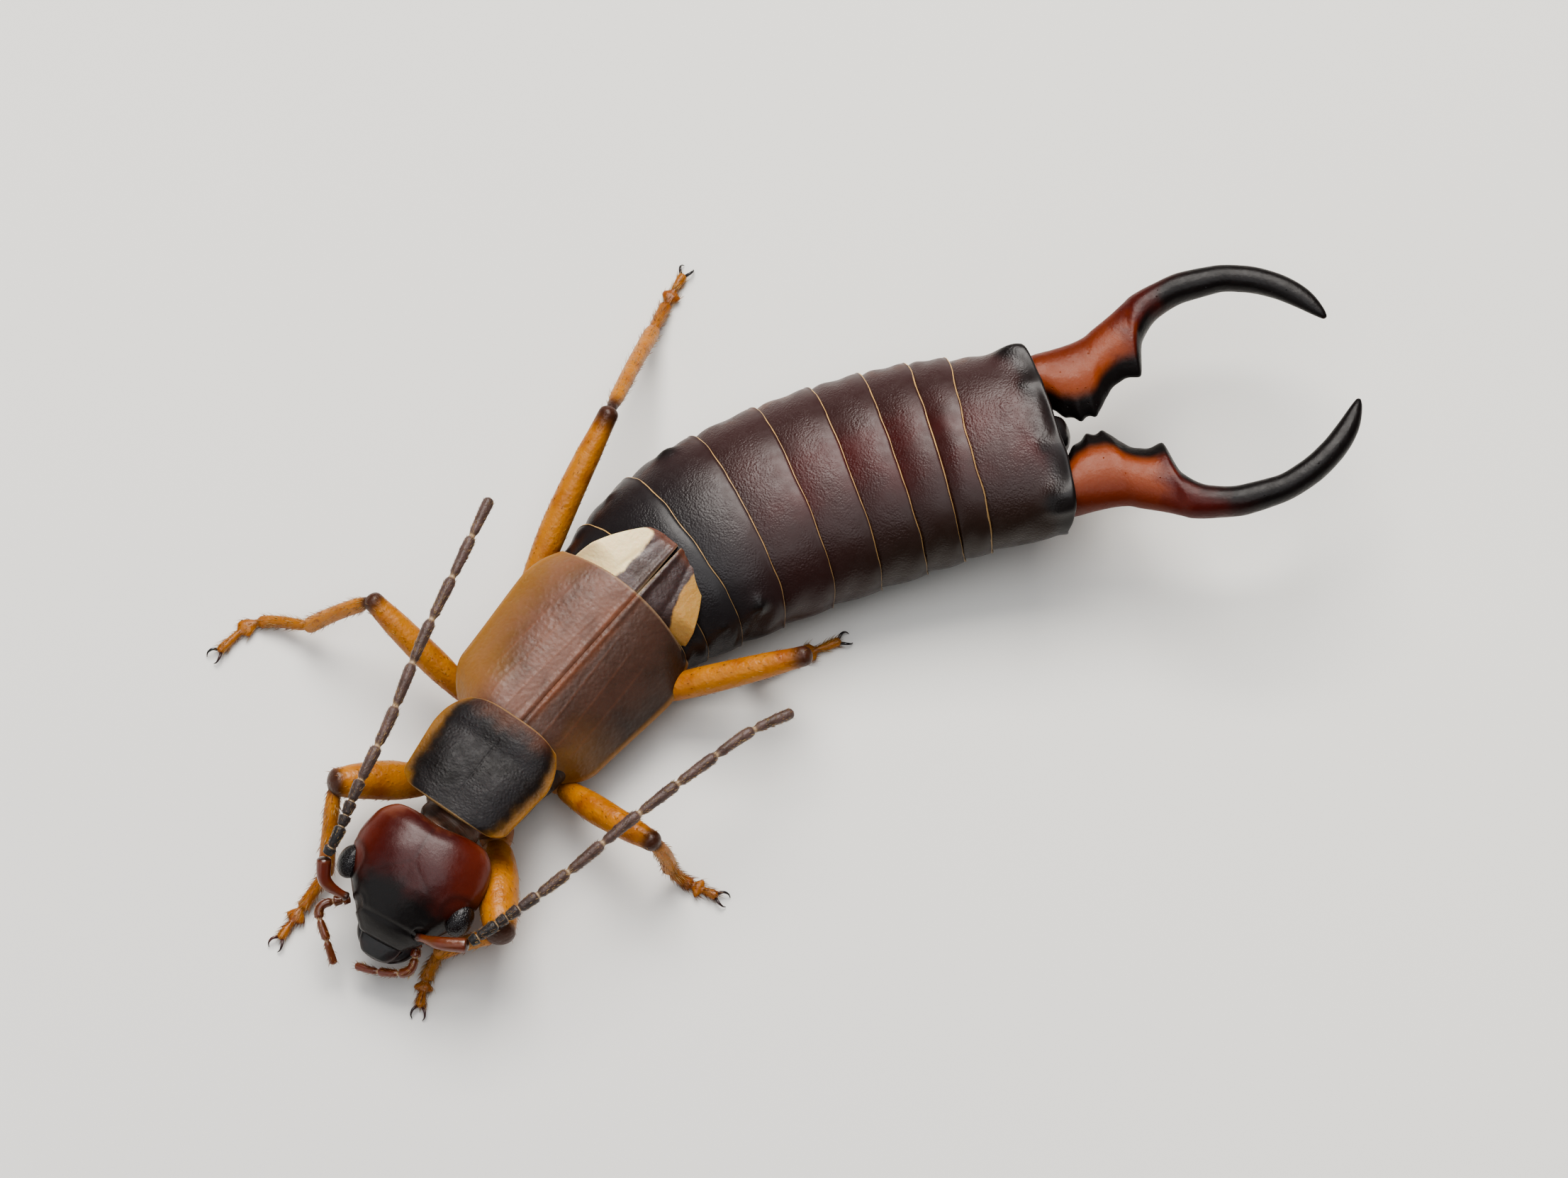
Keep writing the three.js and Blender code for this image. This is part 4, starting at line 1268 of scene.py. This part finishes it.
LEGS = {
    "front_r": {
        "start": (-0.35, -3.62, 0.6), "hip": (-0.98, -3.98, 0.58), "knee": (-1.8, -5.05, 1.3),
        "ankle": (-1.18, -6.0, 0.3), "foot": ((-1.18, -6.5, 0.11), (-1.12, -7.14, 0.08)), "thick": 0.3},
    "front_l": {
        "start": (0.15, -3.62, 0.6), "hip": (0.62, -4.15, 0.58), "knee": (1.72, -5.3, 1.32),
        "ankle": (0.9, -5.85, 0.3), "foot": ((0.98, -6.2, 0.11), (1.2, -6.62, 0.08)), "thick": 0.32},
    "middle_r": {
        "start": (-0.65, -2.25, 0.5), "hip": (-1.3, -2.55, 0.55), "knee": (-3.24, -2.5, 1.5),
        "ankle": (-4.04, -3.15, 0.32), "thick": 0.22,
        "foot": ((-4.62, -3.42, 0.12), (-4.8, -3.66, 0.09), (-4.88, -4.26, 0.08))},
    "middle_l": {
        "start": (0.2, -2.25, 0.5), "hip": (0.75, -2.8, 0.55), "knee": (2.55, -2.72, 1.36),
        "ankle": (2.72, -2.62, 0.3), "foot": ((2.95, -2.58, 0.11), (3.5, -2.44, 0.08)), "thick": 0.22},
    "hind_r": {
        "start": (-0.7, -1.2, 0.5), "hip": (-1.7, -1.0, 0.55), "knee": (-2.33, 2.04, 1.9),
        "ankle": (-3.16, 4.0, 0.32), "foot": ((-3.34, 4.5, 0.11), (-3.48, 5.1, 0.08)), "thick": 0.22},
    "hind_l": {
        "start": (0.0, -1.1, 0.5), "hip": (0.6, -0.98, 0.5), "knee": (2.45, 0.97, 1.6),
        "ankle": (1.62, 0.62, 0.3), "foot": ((1.95, 1.25, 0.11), (2.3, 1.92, 0.08)), "thick": 0.22},
}
HIP_SHAPE = ((0, 1.1), (0.5, 1.15), (1, 0.8))
THIGH_SHAPE = ((0, 0.6), (0.12, 0.82), (0.4, 1.0), (0.75, 0.88), (0.9, 0.74), (1, 0.7))
SHIN_SHAPE = ((0, 0.5), (0.08, 0.7), (0.2, 0.92), (0.6, 0.96), (0.92, 1.0), (1, 0.86))
HIP_RADIUS = 0.24
SHIN_RADIUS = 0.125
CLAW_SHAPE = ((0, 0.028), (0.5, 0.02), (1, 0.005))
LEG_COLUMNS = 28
# The node and the rows of each piece of a leg
LEG_PARTS = {"hip": ("coxa", 16), "thigh": ("femur", 40), "shin": ("tibia", 36), "foot": ("tarsus", 64)}
# Stations of a foot: share, half width and half height of its three pieces
FOOT_STATIONS = (
    (0.0, 0.06, 0.06), (0.08, 0.085, 0.085), (0.4, 0.095, 0.09), (0.5, 0.1, 0.085), (0.535, 0.05, 0.045),
    (0.56, 0.07, 0.05), (0.63, 0.135, 0.07), (0.68, 0.15, 0.06), (0.705, 0.1, 0.045), (0.73, 0.05, 0.05),
    (0.8, 0.06, 0.06), (0.93, 0.075, 0.07), (1.0, 0.06, 0.06),
)


def across_of(start, end):
    """A level direction across a limb."""
    return (end - start).cross(UP).normalized()


def leg_tubes(leg):
    """The tubes of hip, thigh, shin and foot of one leg."""
    start, hip, knee, ankle = (Vector(leg[name]) for name in ("start", "hip", "knee", "ankle"))
    sag = hip.lerp(knee, 0.5) + Vector((0, 0, 0.06))
    past_hip = hip + (start - hip).normalized() * 0.1
    thigh_end = knee + (knee - sag).normalized() * 0.05
    shin_start = knee + (sag - knee).normalized() * 0.05
    bow = shin_start.lerp(ankle, 0.5) + (knee - ankle).cross(across_of(knee, ankle)).normalized() * 0.05
    foot_points = [ankle + (bow - ankle).normalized() * 0.05, *leg["foot"]]
    foot_stations = [(share, wide, high, high) for share, wide, high in FOOT_STATIONS]
    across_thigh, across_shin = across_of(hip, knee), across_of(knee, ankle)
    return {
        "hip": round_tube([start, hip], HIP_SHAPE, (0.1, 0.14), HIP_RADIUS, across_of(start, hip)),
        "thigh": round_tube([past_hip, sag, thigh_end], THIGH_SHAPE, (0.1, 0.12), leg["thick"], across_thigh),
        "shin": round_tube([shin_start, bow, ankle], SHIN_SHAPE, (0.08, 0.06), SHIN_RADIUS, across_shin),
        "foot": Tube(foot_points, foot_stations, caps=(0.05, 0.04)),
    }


def limb_marks(part):
    """How dark a leg piece is towards its joints."""
    def marks(share):
        if part == "thigh":
            knee = ease(0.86, 0.97, share)
            return {"dark": knee + 0.3 * ease(0.1, 0.0, share), "black": knee * 0.6}
        if part == "shin":
            knee = ease(0.16, 0.04, share)
            return {"dark": knee + 0.25 * ease(0.9, 1.0, share), "black": knee * 0.7}
        if part == "foot":
            joints = hump(share - 0.54, 0.02) + hump(share - 0.72, 0.02)
            return {"dark": 0.35 + 0.3 * joints, "black": 0.0}
        return {"dark": 0.35, "black": 0.0}
    return marks


def claw_points(tube, side):
    """A claw that leaves the end of the foot outwards and curves down and back in."""
    end, heading = tube.path.at(1.0), tube.path.heading(1.0)
    out = UP.cross(heading).normalized() * side
    start = end - heading * 0.03 + out * 0.03
    return [
        start, start + heading * 0.08 + out * 0.06 + Vector((0, 0, 0.035)),
        start + heading * 0.16 + out * 0.075 - Vector((0, 0, 0.01)),
        start + heading * 0.2 + out * 0.045 - Vector((0, 0, 0.06)),
    ]


class EARWIG_OT_legs(bpy.types.Operator):
    """Make the six legs with their claws"""

    bl_idname = "earwig.legs"
    bl_label = "Legs"

    def execute(self, context):
        finish = leg_finish()
        horn = horn_finish("claw_finish", 0.25, 0.35)
        for name, leg in LEGS.items():
            tubes = leg_tubes(leg)
            for part, tube in tubes.items():
                node, rows = LEG_PARTS[part]
                mesh = tube_mesh(tube, LEG_COLUMNS, rows, marks=limb_marks(part))
                add_piece(f"{name}_{part}", mesh, finish, [f"{node}_{name}"])
            for letter, side in (("a", 1), ("b", -1)):
                claw = round_tube(claw_points(tubes["foot"], side), CLAW_SHAPE, (0.02, 0.01))
                add_piece(f"{name}_claw_{letter}", tube_mesh(claw, 10, 14), horn)
        return {"FINISHED"}


# Bristles

UNWRAP_RADIUS = 0.0015
# Bristles of each piece of a leg: how many, their length as a share, and their lean along the piece
LEG_BRISTLES = {
    "hip": (30, 0.6, 0.3), "thigh": (130, 0.5, 0.6), "shin": (190, 0.8, 0.6), "foot": (240, 0.75, 0.55),
}
FEELER_BRISTLES = 1300
PALP_BRISTLES = 160


def bristle_template():
    """The points and faces of one bristle along Z, of length 1 and radius 1, with a pointed end."""
    mesh = bmesh.new()
    bmesh.ops.create_cone(
        mesh, cap_ends=True, segments=3, radius1=1.0, radius2=0.62, depth=0.5,
        matrix=Matrix.Translation((0.0, 0.0, 0.25)))
    top = max(mesh.faces, key=lambda face: face.calc_center_median().z)
    tip = bmesh.ops.poke(mesh, faces=[top])["verts"]
    bmesh.ops.translate(mesh, vec=(0.0, 0.0, 0.5), verts=tip)
    bmesh.ops.recalc_face_normals(mesh, faces=mesh.faces)
    mesh.verts.index_update()
    points = np.array([vert.co[:] for vert in mesh.verts])
    faces = [[vert.index for vert in face.verts] for face in mesh.faces]
    mesh.free()
    return points, faces


def add_bristles(name, roots, finish):
    """Joins copies of the bristle into one piece. A root has its place, direction, bend, length, radius and its
    place on the unwrapped skin."""
    points, faces = bristle_template()
    count, corners = len(roots), len(points)
    spots = np.zeros((count, corners, 3))
    unwraps = np.zeros((count, corners, 2))
    x, y, rise = points[:, :1], points[:, 1:2], points[:, 2:]
    for index, (place, way, bend, length, radius, unwrap) in enumerate(roots):
        first = way.orthogonal().normalized()
        second = way.cross(first)
        middle = np.array(place) + rise * length * np.array(way) + rise ** 2 * length * np.array(bend)
        spots[index] = middle + radius * (x * np.array(first) + y * np.array(second))
        unwraps[index] = np.array(unwrap) + UNWRAP_RADIUS * points[:, :2]
    spots = (spots.reshape(-1, 3) - np.array(BELLY)) * MM
    spots[:, 2] = np.maximum(spots[:, 2], FLOOR_CLEARANCE * MM)
    copies = [[index * corners + corner for corner in face] for index in range(count) for face in faces]
    data = bpy.data.meshes.new(name)
    data.from_pydata(spots.tolist(), [], copies)
    layer = data.uv_layers.new(name="OFBake")
    corner_points = np.zeros(len(data.loops), dtype=np.int32)
    data.loops.foreach_get("vertex_index", corner_points)
    layer.data.foreach_set("uv", unwraps.reshape(-1, 2)[corner_points].ravel())
    add_object(name, data, finish)


def tube_roots(tube, count, length, low, high, tile, lean, dice):
    """Bristle roots on a tube between two shares, leaning towards its end. The tile is the column and row of
    the tube's place on the unwrapped skin, and how many columns that has."""
    roots = []
    for _ in range(count):
        around, share = dice.random(), mix(low, high, dice.random())
        out = tube.normal(around, share)
        along = tube.path.heading(share)
        way = (out * (1 - lean) + along * lean).normalized()
        size = length * mix(0.6, 1.25, dice.random())
        place = tube.point(around, share) - way * 0.01
        column, row, columns = tile
        unwrap = ((column + 0.05 + 0.9 * around) / columns, (row + 0.05 + 0.9 * share) / columns)
        roots.append((place, way, along * 0.35, size, sizes().bristle_radius / MM, unwrap))
    return roots


class EARWIG_OT_bristles(bpy.types.Operator):
    """Make the bristles of legs, feelers and palps"""

    bl_idname = "earwig.bristles"
    bl_label = "Bristles"

    def execute(self, context):
        dice = random.Random(7)
        tint = colours()
        amber = bristle_finish("leg_bristle_finish", tint.dark_amber)
        brown = bristle_finish("feeler_bristle_finish", tint.feeler)
        length = sizes().bristle_length / MM
        for column, (name, leg) in enumerate(LEGS.items()):
            roots = []
            for row, (part, tube) in enumerate(leg_tubes(leg).items()):
                count, size, lean = LEG_BRISTLES[part]
                roots += tube_roots(tube, count, length * size, 0.06, 0.98, (column, row, 6), lean, dice)
            add_bristles(f"{name}_bristles", roots, amber)
        for column, (letter, feeler) in enumerate(FEELERS.items()):
            tube, tile = feeler_tube(feeler), (column, 0, 2)
            roots = tube_roots(tube, FEELER_BRISTLES, length * 0.34, 0.01, 0.99, tile, 0.6, dice)
            add_bristles(f"feeler_bristles_{letter}", roots, brown)
        for column, (letter, points) in enumerate(PALPS.items()):
            tube, tile = palp_tube(points), (column, 0, 2)
            roots = tube_roots(tube, PALP_BRISTLES, length * 0.5, 0.05, 0.98, tile, 0.5, dice)
            add_bristles(f"palp_bristles_{letter}", roots, amber)
        return {"FINISHED"}


# Stage: floor, light and camera

CAMERA_PLACE = Vector((24.8, -28.43, 92.6))
CAMERA_AZIMUTH = 39.6
CAMERA_ELEVATION = 68.0
CAMERA_LENS = 150
FLOOR_GAP = 0.01
FLOOR_SHADE = paint(220, 218, 214)
# Lights: azimuth and elevation as seen from the model, distance, width, power and colour
LIGHTS = {
    "key": (-140, 58, 0.16, 0.1, 0.34, (1.0, 0.97, 0.93)),
    "top": (30, 82, 0.2, 0.16, 0.2, (0.97, 0.98, 1.0)),
    "fill": (-20, 30, 0.22, 0.2, 0.1, (0.95, 0.98, 1.0)),
}


def look_back(azimuth, elevation):
    """The direction from the model to a viewer: azimuth 0 looks along +Y."""
    turn, rise = math.radians(azimuth), math.radians(elevation)
    return Vector((math.sin(turn) * math.cos(rise), -math.cos(turn) * math.cos(rise), math.sin(rise)))


def add_floor():
    mesh = bmesh.new()
    bmesh.ops.create_grid(mesh, x_segments=4, y_segments=4, size=sizes().floor_width / 2)
    bmesh.ops.translate(mesh, vec=(0, 0, -FLOOR_GAP * MM), verts=mesh.verts)
    data = bpy.data.meshes.new("floor")
    mesh.to_mesh(data)
    mesh.free()
    floor = bpy.data.objects.new("floor", data)
    finish = Finish("floor_finish")
    finish.base = finish.blend(finish.mottled(0.0, 1.0, 0.02, 3.0), colours().floor, FLOOR_SHADE)
    data.materials.append(finish.done(0.7))
    bpy.context.scene.collection.objects.link(floor)


def add_light(name, azimuth, elevation, distance, width, power, tint):
    lamp = bpy.data.lights.new(name, "AREA")
    lamp.shape = "SQUARE"
    lamp.size = width
    lamp.energy = power
    lamp.color = tint
    light = bpy.data.objects.new(name, lamp)
    away = look_back(azimuth, elevation)
    light.location = away * distance
    light.rotation_euler = away.to_track_quat("Z", "Y").to_euler()
    bpy.context.scene.collection.objects.link(light)


def add_world():
    world = bpy.data.worlds.new("studio")
    world.use_nodes = True
    back = world.node_tree.nodes["Background"]
    back.inputs["Color"].default_value = (0.92, 0.95, 1.0, 1.0)
    back.inputs["Strength"].default_value = 0.2
    bpy.context.scene.world = world


def add_camera():
    data = bpy.data.cameras.new("camera")
    data.lens = CAMERA_LENS
    data.sensor_width = 36
    data.clip_start = 0.001
    data.clip_end = 5.0
    camera = bpy.data.objects.new("camera", data)
    camera.location = CAMERA_PLACE * MM
    camera.rotation_euler = look_back(CAMERA_AZIMUTH, CAMERA_ELEVATION).to_track_quat("Z", "Y").to_euler()
    bpy.context.scene.collection.objects.link(camera)
    bpy.context.scene.camera = camera


class EARWIG_OT_stage(bpy.types.Operator):
    """Make the floor, the soft lights and the camera"""

    bl_idname = "earwig.stage"
    bl_label = "Stage"

    def execute(self, context):
        add_floor()
        for name, settings in LIGHTS.items():
            add_light(name, *settings)
        add_world()
        add_camera()
        context.scene.view_settings.view_transform = "AgX"
        context.scene.view_settings.look = "AgX - Medium High Contrast"
        return {"FINISHED"}


OPERATORS = (
    EARWIG_OT_abdomen, EARWIG_OT_forceps, EARWIG_OT_wings, EARWIG_OT_front_plate, EARWIG_OT_trunk,
    EARWIG_OT_head, EARWIG_OT_eyes, EARWIG_OT_mouth, EARWIG_OT_feelers, EARWIG_OT_palps, EARWIG_OT_legs,
    EARWIG_OT_bristles, EARWIG_OT_stage,
)


class EARWIG_PT_builder(bpy.types.Panel):
    """The builder's buttons, sizes and colours"""

    bl_idname = "EARWIG_PT_builder"
    bl_label = "Earwig"
    bl_space_type = "VIEW_3D"
    bl_region_type = "UI"
    bl_category = "Earwig"

    def draw(self, context):
        for operator in OPERATORS:
            self.layout.operator(operator.bl_idname)
        for group in (context.scene.earwig_sizes, context.scene.earwig_colours):
            for name in group.__annotations__:
                self.layout.prop(group, name)


CLASSES = (EarwigSizes, EarwigColours, *OPERATORS, EARWIG_PT_builder)


def register():
    for each in CLASSES:
        bpy.utils.register_class(each)
    bpy.types.Scene.earwig_sizes = bpy.props.PointerProperty(type=EarwigSizes)
    bpy.types.Scene.earwig_colours = bpy.props.PointerProperty(type=EarwigColours)


def unregister():
    del bpy.types.Scene.earwig_colours
    del bpy.types.Scene.earwig_sizes
    for each in reversed(CLASSES):
        bpy.utils.unregister_class(each)


def main():
    register()
    bpy.ops.earwig.abdomen()
    bpy.ops.earwig.forceps()
    bpy.ops.earwig.wings()
    bpy.ops.earwig.front_plate()
    bpy.ops.earwig.trunk()
    bpy.ops.earwig.head()
    bpy.ops.earwig.eyes()
    bpy.ops.earwig.mouth()
    bpy.ops.earwig.feelers()
    bpy.ops.earwig.palps()
    bpy.ops.earwig.legs()
    bpy.ops.earwig.bristles()
    bpy.ops.earwig.stage()


if __name__ == "__main__":
    main()
